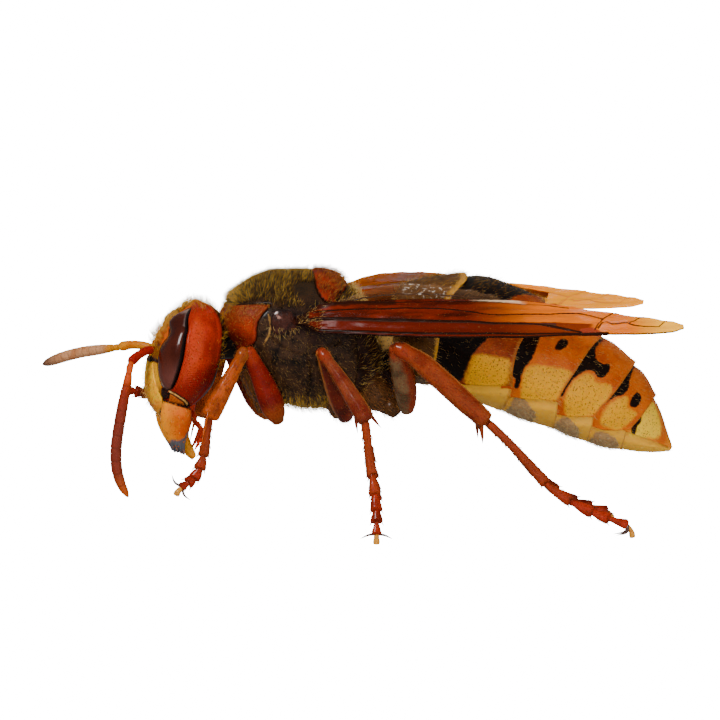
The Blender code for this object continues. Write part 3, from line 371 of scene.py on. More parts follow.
@dataclass(frozen=True)
class Tube:
    """A round or flattened form along a line, with rounded ends."""

    line: Line
    halves: Table
    flat: float = 1.0
    sides: int = 24
    steps: int = 32
    cap: float = 0.12
    exponent: float = 2.0
    side: tuple[float, float, float] | None = None

    def shape(self) -> Skin:
        """Its surface.

        Returns:
            A skin whose rows go round it; along is the share of its length, turn is in degrees.
        """
        shares = np.linspace(0, 1, self.steps + 1)
        spots, ways = self.line.at(shares), self.line.ahead(shares)
        side = np.array(self.side, float) if self.side else np.cross(ways[0], (0.0, 1.0, 0.0))
        sides = []
        for way in ways:
            side = unit(side - way * (side @ way))
            sides.append(side)
        sides = np.array(sides)
        others = np.cross(ways, sides)
        bulge = np.radians(np.array([84, 66, 46, 24]))
        last = self.steps
        pick = np.array([0] * 4 + list(range(last + 1)) + [last] * 4)
        push = np.concatenate([-np.sin(bulge), np.zeros(last + 1), np.sin(bulge[::-1])]) * self.cap
        size = np.concatenate([np.cos(bulge), np.ones(last + 1), np.cos(bulge[::-1])])
        size = size * self.halves.at(shares)[pick, 0]
        turns = np.arange(self.sides) * 360.0 / self.sides
        cos = power(np.cos(np.radians(turns)), self.exponent)
        sin = power(np.sin(np.radians(turns)), self.exponent) * self.flat
        ring = sides[pick][:, None] * cos[None, :, None] + others[pick][:, None] * sin[None, :, None]
        centre = spots[pick] + ways[pick] * push[:, None]
        points = centre[:, None] + ring * size[:, None, None]
        return Skin(points, np.repeat(shares[pick][:, None], self.sides, 1),
                    np.repeat(turns[None], len(pick), 0))


class Signal:
    """One output of a node, whose arithmetic adds Math nodes."""

    def __init__(self, shade: "Shade", socket: bpy.types.NodeSocket) -> None:
        """Wraps an output.

        Args:
            shade: the material that it belongs to.
            socket: the output.
        """
        self.shade = shade
        self.socket = socket

    def math(self, operation: str, *others: "Signal | float") -> "Signal":
        """A Math node of this value and others."""
        return self.shade.out("ShaderNodeMath", {"operation": operation}, dict(enumerate((self, *others))))

    def __add__(self, other: "Signal | float") -> "Signal":
        """Sum of the two."""
        return self.math("ADD", other)

    __radd__ = __add__

    def __sub__(self, other: "Signal | float") -> "Signal":
        """This less the other."""
        return self.math("SUBTRACT", other)

    def __rsub__(self, other: float) -> "Signal":
        """The other less this."""
        return (self * -1.0).math("ADD", other)

    def __mul__(self, other: "Signal | float") -> "Signal":
        """Product of the two."""
        return self.math("MULTIPLY", other)

    __rmul__ = __mul__

    def between(self, low: float, high: float) -> "Signal":
        """Smooth step from 0 at low to 1 at high."""
        return self.shade.out("ShaderNodeMapRange", {"interpolation_type": "SMOOTHSTEP"},
                              {"Value": self, "From Min": low, "From Max": high})


class Shade:
    """The nodes of one material."""

    def __init__(self, name: str) -> None:
        """Starts a material that has only its surface shader.

        Args:
            name: the material's name.
        """
        self.material = bpy.data.materials.new(name)
        self.material.use_nodes = True
        self.tree = self.material.node_tree
        self.shader = self.tree.nodes["Principled BSDF"]

    def node(self, kind: str, settings: dict, inputs: dict) -> bpy.types.Node:
        """Adds a node.

        Args:
            kind: its type.
            settings: its properties, set first.
            inputs: values or signals for its sockets, by name or number.

        Returns:
            The node.
        """
        node = self.tree.nodes.new(kind)
        for name, value in settings.items():
            setattr(node, name, value)
        for name, value in inputs.items():
            self.feed(node.inputs[name], value)
        return node

    def out(self, kind: str, settings: dict, inputs: dict, output: int | str = 0) -> Signal:
        """Adds a node and gives one of its outputs."""
        return Signal(self, self.node(kind, settings, inputs).outputs[output])

    def feed(self, socket: bpy.types.NodeSocket, value: "Signal | float | Colour | tuple") -> None:
        """Sets a socket, or links a signal to it.

        Args:
            socket: an input.
            value: a signal, a number, a colour code or a vector.
        """
        if isinstance(value, Signal):
            self.tree.links.new(value.socket, socket)
        elif isinstance(value, Colour):
            socket.default_value = (*hue(value), 1.0)
        else:
            socket.default_value = value

    def place(self) -> Signal:
        """The place on the object, in millimetres."""
        spot = self.out("ShaderNodeTexCoord", {}, {}, "Object")
        return self.out("ShaderNodeVectorMath", {"operation": "SCALE"}, {0: spot, "Scale": 1 / MM})

    def stretched(self, place: Signal, scale: tuple[float, float, float]) -> Signal:
        """A place scaled by a different amount along each axis."""
        return self.out("ShaderNodeVectorMath", {"operation": "MULTIPLY"}, {0: place, 1: scale})

    def noise(self, place: Signal, per_mm: float, detail: float = 3.0) -> Signal:
        """Cloudy noise from 0 to 1."""
        return self.out("ShaderNodeTexNoise", {}, {"Vector": place, "Scale": per_mm, "Detail": detail})

    def dots(self, place: Signal, per_mm: float) -> Signal:
        """Distance from the nearest of scattered points, in cells."""
        return self.out("ShaderNodeTexVoronoi", {}, {"Vector": place, "Scale": per_mm}, "Distance")

    def layer(self, name: str) -> Signal:
        """A value stored on the mesh."""
        return self.out("ShaderNodeAttribute", {"attribute_name": name}, {}, "Fac")

    def mix(self, under: "Signal | Colour", over: "Signal | Colour", share: "Signal | float") -> Signal:
        """One colour over another."""
        return self.out("ShaderNodeMix", {"data_type": "RGBA"}, {0: share, 6: under, 7: over}, 2)

    def finish(self, colour: Signal, rough: "Signal | float", height: Signal | None = None,
               alpha: Signal | None = None, **fixed: float) -> bpy.types.Material:
        """Feeds the surface shader.

        Args:
            colour: base colour.
            rough: roughness.
            height: relief in millimetres.
            alpha: how solid the surface is.
            fixed: values for other sockets, their names with underscores.

        Returns:
            The material.
        """
        self.feed(self.shader.inputs["Base Color"], colour)
        self.feed(self.shader.inputs["Roughness"], rough)
        if height is not None:
            bump = self.out("ShaderNodeBump", {}, {"Height": height, "Distance": MM, "Strength": 1.0},
                "Normal")
            self.feed(self.shader.inputs["Normal"], bump)
        if alpha is not None:
            self.feed(self.shader.inputs["Alpha"], alpha)
        for name, value in fixed.items():
            self.shader.inputs[name.replace("_", " ")].default_value = value
        return self.material


@dataclass(frozen=True)
class Mark:
    """A colour laid where a layer is above zero."""

    layer: str
    colour: Colour
    soft: float = 0.03
    ragged: float = 0.03
    per_mm: float = 5.0
    strength: float = 1.0

    def over(self, shade: Shade, place: Signal, colour: Signal) -> Signal:
        """Lays the mark over a colour.

        Args:
            shade: the material.
            place: the place in millimetres.
            colour: the colour below.

        Returns:
            The colour with the mark on it.
        """
        value = shade.layer(self.layer) + (shade.noise(place, self.per_mm, 2.0) - 0.5) * (4 * self.ragged)
        return shade.mix(colour, self.colour, value.between(-self.soft, self.soft) * self.strength)


@dataclass(frozen=True)
class Cuticle:
    """The hard, polished skin of an insect."""

    name: str
    colour: Colour
    dark: Colour
    light: Colour
    mottle: float = 1.2
    rough: float = 0.32
    spread: float = 0.2
    shine: float = 0.1
    gloss: float = 0.12
    gloss_rough: float = 0.12
    relief: float = 0.004
    fine: float = 14.0
    pits: float = 0.0
    pit_depth: float = 0.01
    pit_colour: Colour = ""
    pit_layer: str = ""
    creases: float = 0.0
    crease_way: tuple[float, float, float] = (1.0, 1.0, 6.0)
    marks: tuple[Mark, ...] = ()
    flesh: float = 0.0

    def build(self) -> bpy.types.Material:
        """Makes the material: clouded colour, marks, punctures, creases and gloss."""
        shade = Shade(self.name)
        place = shade.place()
        cloud = shade.noise(place, self.mottle, 4.0)
        speck = shade.noise(place, self.fine, 3.0)
        colour = shade.mix(self.dark, self.colour, cloud.between(0.32, 0.58))
        colour = shade.mix(colour, self.light, speck.between(0.48, 0.8) * cloud.between(0.35, 0.75) * 0.8)
        for mark in self.marks:
            colour = mark.over(shade, place, colour)
        height = speck * self.relief + cloud * (3 * self.relief)
        if self.pits:
            pit = 1 - shade.dots(place, self.pits).between(0.1, 0.38)
            if self.pit_layer:
                pit = pit * shade.layer(self.pit_layer).between(-0.05, 0.12)
            if self.pit_colour:
                colour = shade.mix(colour, self.pit_colour, pit * 0.75)
            height = height - pit * self.pit_depth
        if self.creases:
            folds = shade.noise(shade.stretched(place, self.crease_way), 1.6, 4.0)
            height = height + folds * self.creases
        rough = (speck - 0.5) * self.spread + (cloud - 0.5) * self.spread + self.rough
        fixed = {"Coat_Weight": self.gloss, "Coat_Roughness": self.gloss_rough,
            "Specular_IOR_Level": self.shine}
        if self.flesh:
            fixed |= {"Subsurface_Weight": self.flesh, "Subsurface_Scale": 0.3 * MM}
        return shade.finish(colour, rough, height, **fixed)


@dataclass(frozen=True)
class Membrane:
    """The clear, tinted skin of a wing, with solid veins."""

    name: str
    colour: Colour
    dark: Colour
    pale: Colour
    vein: Colour
    marks: tuple[Mark, ...] = ()
    solid: float = 0.94
    tip_solid: float = 0.94
    rough: float = 0.26
    shine: float = 0.06
    # Strength of the emission painted on the outer parts as backlight.
    painted_glow: float = 0.0

    def build(self) -> bpy.types.Material:
        """Makes the material: tint, cells that differ, creases, how solid it is, and painted backlight on the
        outer parts.
        """
        shade = Shade(self.name)
        place = shade.place()
        cloud = shade.noise(shade.stretched(place, (0.22, 1.0, 1.0)), 1.8, 4.0)
        speck = shade.noise(place, 18.0, 3.0)
        tip = shade.layer("tip")
        vein = shade.layer("vein").between(-0.015, 0.02)
        colour = shade.mix(self.dark, self.colour, cloud.between(0.3, 0.62))
        # Paler towards the tip: painted backlight, where light from behind comes through the wing.
        colour = shade.mix(colour, self.pale, tip.between(0.05, 1.0) * (cloud * 0.5 + 0.65).math("MINIMUM",
            1.0))
        solid = (cloud - 0.5) * 0.25 + (speck - 0.5) * 0.15 + self.solid
        solid = solid + tip * (self.tip_solid - self.solid)
        for mark in self.marks:
            colour = mark.over(shade, place, colour)
            solid = solid + shade.layer(mark.layer).between(-mark.soft, mark.soft) * mark.strength * 0.5
        colour = shade.mix(colour, self.vein, vein)
        folds = shade.noise(shade.stretched(place, (0.5, 2.0, 2.0)), 2.4, 4.0)
        height = folds * 0.04 + speck * 0.004
        alpha = (solid + vein).math("MINIMUM", 1.0)
        # Emission on the outer parts is painted light, standing in for backlight through the membrane.
        if self.painted_glow:
            painted_glow_colour = shade.mix("000000", colour, tip.between(0.3, 1.0))
            shade.feed(shade.shader.inputs["Emission Color"], painted_glow_colour)
            shade.shader.inputs["Emission Strength"].default_value = self.painted_glow
        return shade.finish(colour, (speck - 0.5) * 0.15 + self.rough, height, alpha, IOR=1.45,
                            Specular_IOR_Level=self.shine, Coat_Weight=self.shine, Coat_Roughness=0.12)


@dataclass(frozen=True)
class Fur:
    """The finish of hairs, from root to tip."""

    name: str
    root: Colour
    tip: Colour
    other: Colour
    rough: float = 0.45

    def build(self) -> bpy.types.Material:
        """Makes the material: each hair has its own tone between two colours."""
        shade = Shade(self.name)
        end = shade.mix(self.tip, self.other, shade.layer("tone"))
        colour = shade.mix(self.root, end, shade.layer("reach").between(0.0, 0.75))
        return shade.finish(colour, self.rough, Specular_IOR_Level=0.2)


@dataclass(frozen=True)
class Coat:
    """Hairs grown on a skin: thin, tapering and bent along the lie of the coat."""

    name: str
    density: float
    length: tuple[float, float]
    radius: float = 0.016
    lift: float = 0.6
    lie: tuple[float, float, float] = (1.0, 0.0, -0.2)
    loose: float = 0.3
    bend: float = 0.35
    seed: int = 1

    def grow(self, skin: Skin, weight: Array | float, material: bpy.types.Material, slot: str) -> None:
        """Grows the hairs and makes their pieces.

        Args:
            skin: the surface that they stand on.
            weight: share of the full density at each point of the skin.
            material: their finish.
            slot: the record's material slot.
        """
        rng = np.random.default_rng(self.seed)
        points, rows, columns = skin.points, *skin.points.shape[:2]
        weight = np.broadcast_to(weight, (rows, columns))
        if skin.around:
            points = np.concatenate([points, points[:, :1]], axis=1)
            weight = np.concatenate([weight, weight[:, :1]], axis=1)
            columns += 1
        corner = [points[:-1, :-1], points[:-1, 1:], points[1:, 1:], points[1:, :-1]]
        cross = np.cross(corner[2] - corner[0], corner[3] - corner[1])
        area = np.linalg.norm(cross, axis=-1) / 2
        share = (weight[:-1, :-1] + weight[:-1, 1:] + weight[1:, 1:] + weight[1:, :-1]) / 4
        wanted = np.cumsum((area * np.clip(share, 0, None)).ravel()) * self.density
        count = int(wanted[-1])
        if count == 0:
            return
        cell = np.searchsorted(wanted, rng.random(count) * wanted[-1])
        i, j = np.unravel_index(np.minimum(cell, area.size - 1), area.shape)
        s, t = rng.random((2, count, 1))
        a, b, c, d = (k[i, j] for k in corner)
        root = a * (1 - s) * (1 - t) + b * (1 - s) * t + c * s * t + d * s * (1 - t)
        normal = skin.normals()[i, j % skin.points.shape[1]]
        lie = np.array(self.lie, float)
        lie = unit(lie - normal * (normal @ lie)[:, None])
        stray = rng.normal(0, self.loose, (count, 3))
        way = unit(normal * self.lift + lie * (1 - self.lift) + stray)
        way = unit(way + normal * np.maximum(0.12 - np.sum(way * normal, -1), 0)[:, None])
        size = rng.uniform(*self.length, count)[:, None]
        middle = root + way * size * 0.5
        tip = middle + unit(way * (1 - self.bend) + lie * self.bend) * size * 0.5
        place = np.stack([(j + t[:, 0]) / columns, (i + s[:, 0]) / rows], -1)
        self.mesh(root - normal * 0.03, middle, tip, place, rng.random(count), material, slot)

    def mesh(self, root: Array, middle: Array, tip: Array, place: Array, tone: Array,
             material: bpy.types.Material, slot: str) -> None:
        """Makes the pieces of the coat, each with a limited number of hairs.

        Args:
            root: where each hair starts.
            middle: its bend.
            tip: its end.
            place: the root's place on the skin's unwrap.
            tone: the hair's tone, 0 to 1.
            material: the finish.
            slot: the record's material slot.
        """
        pieces = math.ceil(len(root) / HAIRS_IN_PIECE)
        angles = np.radians([0, 120, 240])
        circle = np.stack([np.cos(angles), np.sin(angles)], -1)
        for piece in range(pieces):
            pick = slice(piece, None, pieces)
            r, m, e, uv = root[pick], middle[pick], tip[pick], place[pick]
            way = unit(m - r)
            side = unit(np.cross(way, (0.31, 0.77, 0.55)))
            other = np.cross(way, side)
            ring = side[:, None] * circle[None, :, :1] + other[:, None] * circle[None, :, 1:]
            points = np.concatenate([r[:, None] + ring * self.radius, m[:, None] + ring * self.radius * 0.7,
                                     e[:, None]], axis=1)
            base = np.arange(len(r))[:, None] * 7
            quad = np.array([[0, 1, 4, 3], [1, 2, 5, 4], [2, 0, 3, 5]])
            tri = np.array([[3, 4, 6], [4, 5, 6], [5, 3, 6], [2, 1, 0]])
            draft = Draft(f"{self.name}_{piece + 1}" if pieces > 1 else self.name)
            reach = np.tile([0, 0, 0, 0.5, 0.5, 0.5, 1.0], len(r))
            draft.add(points.reshape(-1, 3), (base[:, :, None] + quad).reshape(-1, 4),
                      (base[:, :, None] + tri).reshape(-1, 3),
                      {"reach": reach, "tone": np.repeat(tone[pick], 7)})
            spread = np.concatenate([circle * 0.0015, circle * 0.0008, [[0.0, 0.0]]])
            draft.uvs = [(np.clip(uv, 0.004, 0.996)[:, None] + spread[None]).reshape(-1, 2)]
            draft.build(material, slot)


def turned(point: tuple[float, float, float], side: str) -> tuple[float, float, float]:
    """A left-side point, or its mirror for the right side."""
    return (point[0], point[1] if side == "left" else -point[1], point[2])


def spike(draft: Draft, root: Array, tip: Array, radius: float, bend: Array | None = None,
          sides: int = 8, **layers: float) -> None:
    """Adds a tapering spike, such as a spur, spine or claw.

    Args:
        draft: the piece that it belongs to.
        root: where it starts.
        tip: where it ends.
        radius: its radius at the root.
        bend: a point that it curves through.
        sides: how many sides it has.
        layers: one value each for the whole spike.
    """
    root, tip = np.asarray(root, float), np.asarray(tip, float)
    middle = (root + tip) / 2 if bend is None else np.asarray(bend, float)
    halves = Table(((0, radius), (0.5, radius * 0.72), (0.85, radius * 0.34), (1, radius * 0.1)))
    form = Tube(Line((tuple(root), tuple(middle), tuple(tip))), halves, sides=sides, steps=10,
                cap=radius * 0.3, side=(0.31, 0.77, 0.55)).shape()
    draft.skin(form, **layers)


@dataclass
class Head:
    """Head capsule, eyes, clypeus, jaws and feelers."""

    capsule: Table = Table((
        (8.05, -12.85, -10.9, 2.2), (8.45, -13.1, -10.3, 2.8), (9.3, -13.35, -9.55, 3.45),
        (10.3, -13.4, -9.2, 3.8), (11.3, -13.3, -8.95, 3.95), (12.3, -12.95, -8.8, 3.88),
        (13.2, -12.4, -8.8, 3.6), (13.9, -11.85, -9.05, 3.05), (14.4, -11.2, -9.6, 2.2),
        (14.62, -10.75, -10.15, 1.1)))
    roundness: float = 2.3
    ocelli: tuple[tuple[float, float, float], ...] = (
        (-11.55, 0.0, 14.02), (-11.1, -0.5, 14.36), (-11.1, 0.5, 14.36))
    eye_edge: Table = Table((
        (14.26, 42.0, 55.0), (14.14, 35.5, 58.0), (13.92, 29.5, 61.0), (13.7, 26.5, 63.5),
        (13.3, 25.5, 68.0), (12.95, 29.0, 73.0), (12.7, 36.0, 74.0), (12.5, 38.0, 75.0),
        (12.3, 35.5, 76.0), (12.1, 32.0, 77.0), (11.5, 30.0, 79.0), (10.9, 31.0, 79.0),
        (10.3, 34.0, 77.0), (9.8, 39.0, 74.0), (9.48, 45.0, 70.5), (9.3, 50.0, 67.0), (9.21, 56.0, 61.0)))
    clypeus: Table = Table((
        (11.2, -13.52, 0.8), (10.7, -13.62, 1.4), (10.0, -13.72, 1.68), (9.3, -13.74, 2.05),
        (8.7, -13.66, 2.3), (8.15, -13.45, 2.1), (7.75, -13.2, 1.55), (7.5, -12.98, 1.05)))
    mandible: Table = Table((
        (0.0, -12.72, 8.58, -11.02, 8.0, 2.35, 0.45), (0.25, -12.9, 7.7, -10.98, 7.4, 2.15, 0.48),
        (0.5, -12.8, 6.85, -11.08, 6.75, 1.75, 0.42), (0.75, -12.48, 6.08, -11.24, 5.98, 1.25, 0.34),
        (1.0, -12.12, 5.52, -11.36, 5.3, 0.85, 0.27)))
    teeth: tuple[float, ...] = (0.08, 0.38, 0.68, 0.94)
    mouth: Table = Table((
        (0.0, -11.0, 8.3, 0.5, 0.75), (0.25, -11.1, 7.2, 0.4, 0.65), (0.5, -11.22, 6.25, 0.28, 0.5),
        (0.68, -11.05, 5.55, 0.34, 0.48), (0.84, -10.86, 5.05, 0.36, 0.44), (1.0, -10.72, 4.66, 0.2, 0.3)))
    palp: tuple[tuple[float, float, float], ...] = (
        (-10.85, -0.55, 7.75), (-10.62, -1.0, 7.15), (-10.22, -1.1, 6.55), (-10.36, -1.05, 5.95),
        (-10.62, -1.0, 5.45))
    scape: dict[str, tuple] = field(
        default_factory=lambda: {"left": ((-12.75, -0.75, 11.5), (-13.45, -1.15, 11.6),
        (-14.15, -1.75, 11.36), (-14.74, -2.5, 10.96)),
        "right": ((-12.75, 0.75, 11.5), (-13.55, 1.05, 11.74), (-14.35, 1.55, 11.8), (-15.05, 2.2, 11.66))})
    flagellum: dict[str, tuple] = field(default_factory=lambda: {
        "left": ((-14.72, -2.5, 10.92), (-14.82, -2.6, 10.66), (-15.02, -2.75, 9.58), (-15.3, -2.9, 8.29),
                 (-15.58, -3.0, 6.75), (-15.74, -3.1, 5.52), (-15.7, -3.1, 4.41), (-15.45, -3.05, 3.47),
                 (-15.02, -3.0, 2.65)),
        "right": ((-15.08, 2.22, 11.66), (-15.22, 2.46, 11.6), (-16.2, 4.1, 11.38), (-17.3, 5.9, 11.12),
                  (-18.42, 7.6, 10.72), (-19.5, 9.1, 10.22))})
    rings: int = 11
    nap: float = 0.08
    degree: float = 0.055    # mm on the cheek in one degree
    foot: float = 8.05
    top: float = 14.62
    eye_foot: float = 9.21
    eye_top: float = 14.26
    shield_top: float = 11.2
    shield_foot: float = 7.5

    def point(self, height: Array, angle: Array, grow: Array | float = 0.0) -> Array:
        """Points of the capsule: angle 0 is the face, 90 the left side."""
        row = self.capsule.at(height)
        turn = np.radians(angle)
        deep, wide = (row[..., 1] - row[..., 0]) / 2 + grow, row[..., 2] + grow
        x = (row[..., 0] + row[..., 1]) / 2 - power(np.cos(turn), self.roundness) * deep
        y = -power(np.sin(turn), self.roundness) * wide
        return np.stack([x, y, np.broadcast_to(height - self.nap * ease(height, 13.4, 14.6), x.shape)], -1)

    def eye_drawing(self) -> Drawing:
        """The outline of an eye in angle and height."""
        heights = np.linspace(self.eye_top, self.eye_foot, 40)
        edge = self.eye_edge.at(heights)
        points = [*zip(edge[:, 0], heights), *zip(edge[::-1, 1], heights[::-1])]
        return Drawing(tuple(points), (self.degree, 1.0), smooth=1)

    def surface(self) -> Skin:
        """The capsule before its relief, with rounded ends."""
        bulge = np.radians([85, 70, 54, 38, 20])
        rows, columns = 190, 288
        heights = np.linspace(self.foot, self.top, rows)
        pick = np.concatenate([np.full(5, self.foot), heights, np.full(5, self.top)])
        size = np.concatenate([np.cos(bulge), np.ones(rows), np.cos(bulge[::-1])])
        lift = np.concatenate([-0.25 * np.sin(bulge), np.zeros(rows), 0.1 * np.sin(bulge[::-1])])
        angles = np.arange(columns) * 360 / columns
        height, angle = np.meshgrid(pick, angles, indexing="ij")
        points = self.point(height, angle)
        middle = points.mean(axis=1, keepdims=True)
        points = middle + (points - middle) * size[:, None, None]
        points[..., 2] += lift[:, None]
        return Skin(points, height, angle)

    def build(self) -> None:
        """Builds every piece of the head."""
        self.build_capsule()
        self.build_eyes()
        self.build_clypeus()
        self.build_jaws()
        self.build_feelers()

    def build_capsule(self) -> None:
        """The head's shell with its relief and markings, the simple eyes and the head's hair."""
        skin = self.surface()
        fold = np.where(skin.turn > 180, 360 - skin.turn, skin.turn)
        z, p = skin.along, skin.points
        eye = self.eye_drawing().depth(fold, z)
        socket = 0.42 - np.hypot(np.abs(p[..., 1]) - 0.8, z - 11.5)
        base = np.minimum(0.75 - np.hypot(fold * self.degree - 1.0, z - 11.45), z - 10.95)
        socket = np.where(p[..., 0] < -12.2, socket, -9.0)
        height = -0.34 * ease(eye, -0.02, 0.1) - 0.05 * np.exp(-(eye / 0.09) ** 2)
        height += 0.07 * np.exp(-((eye + 0.22) / 0.14) ** 2) * ease(fold, 50, 80)
        height -= 0.16 * ease(socket, -0.08, 0.22)
        height += 0.1 * np.exp(-((socket + 0.12) / 0.08) ** 2)
        frons = np.exp(-(p[..., 1] / 0.1) ** 2) * ease(z, 11.2, 11.8) * ease(-z, -13.9, -13.2)
        height -= 0.06 * np.where(p[..., 0] < -11.0, frons, 0)
        height += 0.12 * np.exp(-(p[..., 1] / 0.55) ** 2) * np.exp(-((z - 11.7) / 0.5) ** 2) * (fold < 60)
        height -= 0.2 * ease(z, 12.8, 13.5) * ease(31 - fold, 0, 14)
        scale = (self.degree, 1.0)
        malar = Drawing(((44, 9.3), (62, 9.32), (66, 9.02), (63, 8.66), (52, 8.6), (44, 8.62)),
            scale).depth(fold, z)
        strip = ((60, 9.14), (74, 8.93), (86, 8.7), (100, 8.44), (116, 8.2))
        tan = Drawing(strip, scale, half=0.05).depth(fold, z)
        tan_edge = Drawing((*strip, (134, 8.02)), scale, half=0.12).depth(fold, z)
        rust = Drawing(((66, 9.0), (80, 8.76), (96, 8.44), (112, 8.16), (90, 7.9), (64, 8.0)), scale).depth(
            fold, z)
        brow = np.minimum(0.13 - np.abs(z - 11.0 + 0.004 * (fold - 20)), (33 - fold) * self.degree)
        gena = Drawing(((78, 13.3), (84, 12.0), (86, 10.98), (82, 10.0), (75, 9.45), (82, 9.3), (98, 10.2),
                        (104, 11.4), (98, 12.8), (86, 13.6)), scale).depth(fold, z)
        height -= 0.06 * ease(tan_edge, -0.05, 0.05) * (1 - ease(tan, -0.04, 0.04))
        back = 0.32 - np.abs(fold - self.occiput(z)) * self.degree
        height += 0.09 * ease(back, -0.1, 0.14)
        height += 0.015 * grain(p, 2.2) + 0.006 * grain(p, 7.0, 3)
        crease = np.sin(z * 46 + 3 * grain(p, 1.5, 4)) * ease(-z, -11.4, -10.6) * ease(fold, 84, 92)
        height += 0.01 * crease * ease(-fold, -128, -112)
        skin = skin.raised(height * ease(np.minimum(z - self.foot, self.top - z), -0.1, 0.2))
        face = (46 - fold) * self.degree
        marks = (
            Mark("face", "f4ac0c", 0.25, 0.1, 1.5),
            Mark("notch", "e06404", 0.15, 0.08, 1.5),
            Mark("gena", "b8380a", 0.3, 0.1, 1.5, 0.7),
            Mark("lowly", "7c0f04", 0.6, 0.2, 1.2, 0.8),
            Mark("base", "5c240c", 0.25, 0.08, 3.0, 0.85),
            Mark("brow", "1c0c06", 0.06, 0.03),
            Mark("malar", "140a06", 0.05, 0.02),
            Mark("rust", "b4560f", 0.05, 0.03),
            Mark("tan_edge", "1c0d08", 0.03, 0.01),
            Mark("tan", "d09a50", 0.02, 0.01),
            Mark("socket", "2a1008", 0.08, 0.02),
            Mark("rear", "2a0e08", 0.1, 0.05),
            Mark("rim", "2c0f08", 0.03, 0.01),
        )
        finish = Cuticle("head_chestnut", "aa2706", "8e1a05", "b83a0a", mottle=0.8, rough=0.42,
                         pits=7.0, pit_depth=0.02, pit_colour="7a1604", gloss=0.3, gloss_rough=0.06,
                         creases=0.01, marks=marks, flesh=0.1).build()
        rearward = (fold - self.occiput(z) - 3) * self.degree
        notch = np.minimum(face, z - 11.9)
        Draft("head_shell").skin(skin, face=face, gena=gena, malar=malar, tan=tan, tan_edge=tan_edge,
            rust=rust, brow=brow, base=base, notch=notch, socket=socket, rear=rearward,
            rim=0.07 - np.abs(eye), lowly=9.9 - z + (fold - 75) * 0.014).build(finish, "head_shell", "head")
        self.grow_hair(skin, fold, eye)
        glass = Cuticle("ocellus_glass", "3a1206", "1c0804", "5a2410", rough=0.1, gloss=1.0,
                        gloss_rough=0.04, relief=0.001).build()
        draft = Draft("ocelli")
        for x, y, z0 in self.ocelli:
            lens = Tube(Line(((x, y, z0 - 0.2), (x, y, z0), (x - 0.02, y * 1.02, z0 + 0.08))),
                        Table(((0, 0.2), (0.7, 0.19), (1, 0.17))), cap=0.13, sides=20, steps=8,
                        side=(1, 0, 0)).shape()
            draft.skin(lens)
        draft.build(glass, "eye")

    def occiput(self, height: Array) -> Array:
        """Angle at which the cheek turns to the back of the head."""
        return Table(((8.0, 126), (8.8, 131), (9.5, 136), (10.4, 142), (11.4, 143), (12.3, 138), (13.3, 132),
                      (14.1, 126), (14.6, 120))).at(height)[..., 0]

    def grow_hair(self, skin: Skin, fold: Array, eye: Array) -> None:
        """Golden hair on the face and crown, sparse on the cheeks.

        Args:
            skin: the head's shell.
            fold: angle from the face on either side.
            eye: depth inside the eye's outline.
        """
        gold = Fur("face_hair", "c07c10", "fccc58", "ecac30").build()
        z = skin.along
        clear = ease(-eye, 0.05, 0.2)
        socket = np.hypot(np.abs(skin.points[..., 1]) - 0.8, z - 11.72)
        face = ease(44 - fold, 0, 14) * ease(z, 11.3, 12.2) * clear * ease(socket, 0.4, 0.6)
        Coat("face_coat", 80, (0.35, 0.95), 0.009, 0.7, (-0.3, 0, 1), seed=3).grow(skin, face, gold,
            "head_shell")
        crown = ease(z, 13.9, 14.45) * clear
        Coat("crown_coat", 36, (0.3, 0.75), 0.009, 0.75, (-0.4, 0, 0.6), seed=4).grow(skin, crown, gold,
            "head_shell")
        nape = ease(fold, 128, 140) * ease(z, 9.5, 12.5)
        Coat("nape_coat", 14, (0.3, 0.7), 0.008, 0.6, (0.2, 0, 1), seed=5).grow(skin, nape, gold,
            "head_shell")
        cheek = ease(fold, 60, 80) * ease(-fold, -130, -120) * clear * ease(z, 8.2, 8.8)
        pale = Fur("cheek_hair", "8a4a18", "d8a060", "b87838").build()
        Coat("cheek_coat", 6, (0.15, 0.32), 0.006, 0.45, (0.2, 0, -1), seed=6).grow(skin, cheek, pale,
            "head_shell")

    def build_eyes(self) -> None:
        """The two compound eyes, with painted sheen on their lower part and along their upper front edge."""
        # Painted sheen: the low mark greys the lower part of each eye, and the edge mark lightens a band
        # along its upper front edge.
        marks = (
            Mark("low", "74463e", 0.9, 0.1, 1.0, 0.45),
            Mark("edge", "9c8880", 0.16, 0.04, 3.0, 0.6),
            Mark("rear", "0c0605", 0.1, 0.02),
        )
        finish = Cuticle("eye_glass", "46180b", "340f06", "562210", mottle=0.7, rough=0.26,
                         spread=0.05, gloss=0.5, gloss_rough=0.1, relief=0.0008, pits=26, pit_depth=0.0012,
                         marks=marks).build()
        outline = self.eye_drawing()
        for side in SIDES:
            shares = 0.5 - 0.5 * np.cos(np.pi * np.linspace(0, 1, 110))
            heights = self.eye_top + (self.eye_foot - self.eye_top) * shares
            across = 0.5 - 0.5 * np.cos(np.pi * np.linspace(0, 1, 56))
            edge = self.eye_edge.at(heights)
            angle = edge[:, :1] + (edge[:, 1:] - edge[:, :1]) * across
            height = np.repeat(heights[:, None], 56, 1)
            depth = np.maximum(outline.depth(angle, height), 0)
            proud = -0.16 + 0.36 * np.sqrt(1 - (1 - np.clip(depth / 0.85, 0, 1)) ** 2)
            proud = proud + 0.24 * ease(height, 12.8, 13.6) * ease(58 - angle, 0, 22) * ease(depth, 0.0, 0.25)
            outer, inner = self.point(height, angle, proud), self.point(height, angle, -0.55)
            if side == "right":
                outer, inner = outer * (1, -1, 1), inner * (1, -1, 1)
            front = 0.3 - (angle - edge[:, :1]) * self.degree
            # The band of painted sheen along the eye's upper and front edge.
            top = deepest(0.26 - depth - 3 * ease(13.2 - height, 0, 0.6), front - 0.12 - 3
                * ease(height, 10.4, 11.2))
            rear = 0.26 - (edge[:, 1:] - angle) * self.degree
            # The edge and low layers place the painted sheen.
            Draft(f"eye_skin_{side}").slab(outer, inner, edge=top, rear=rear, low=10.6 - height).build(
                finish, "eye", f"eye_{side}")

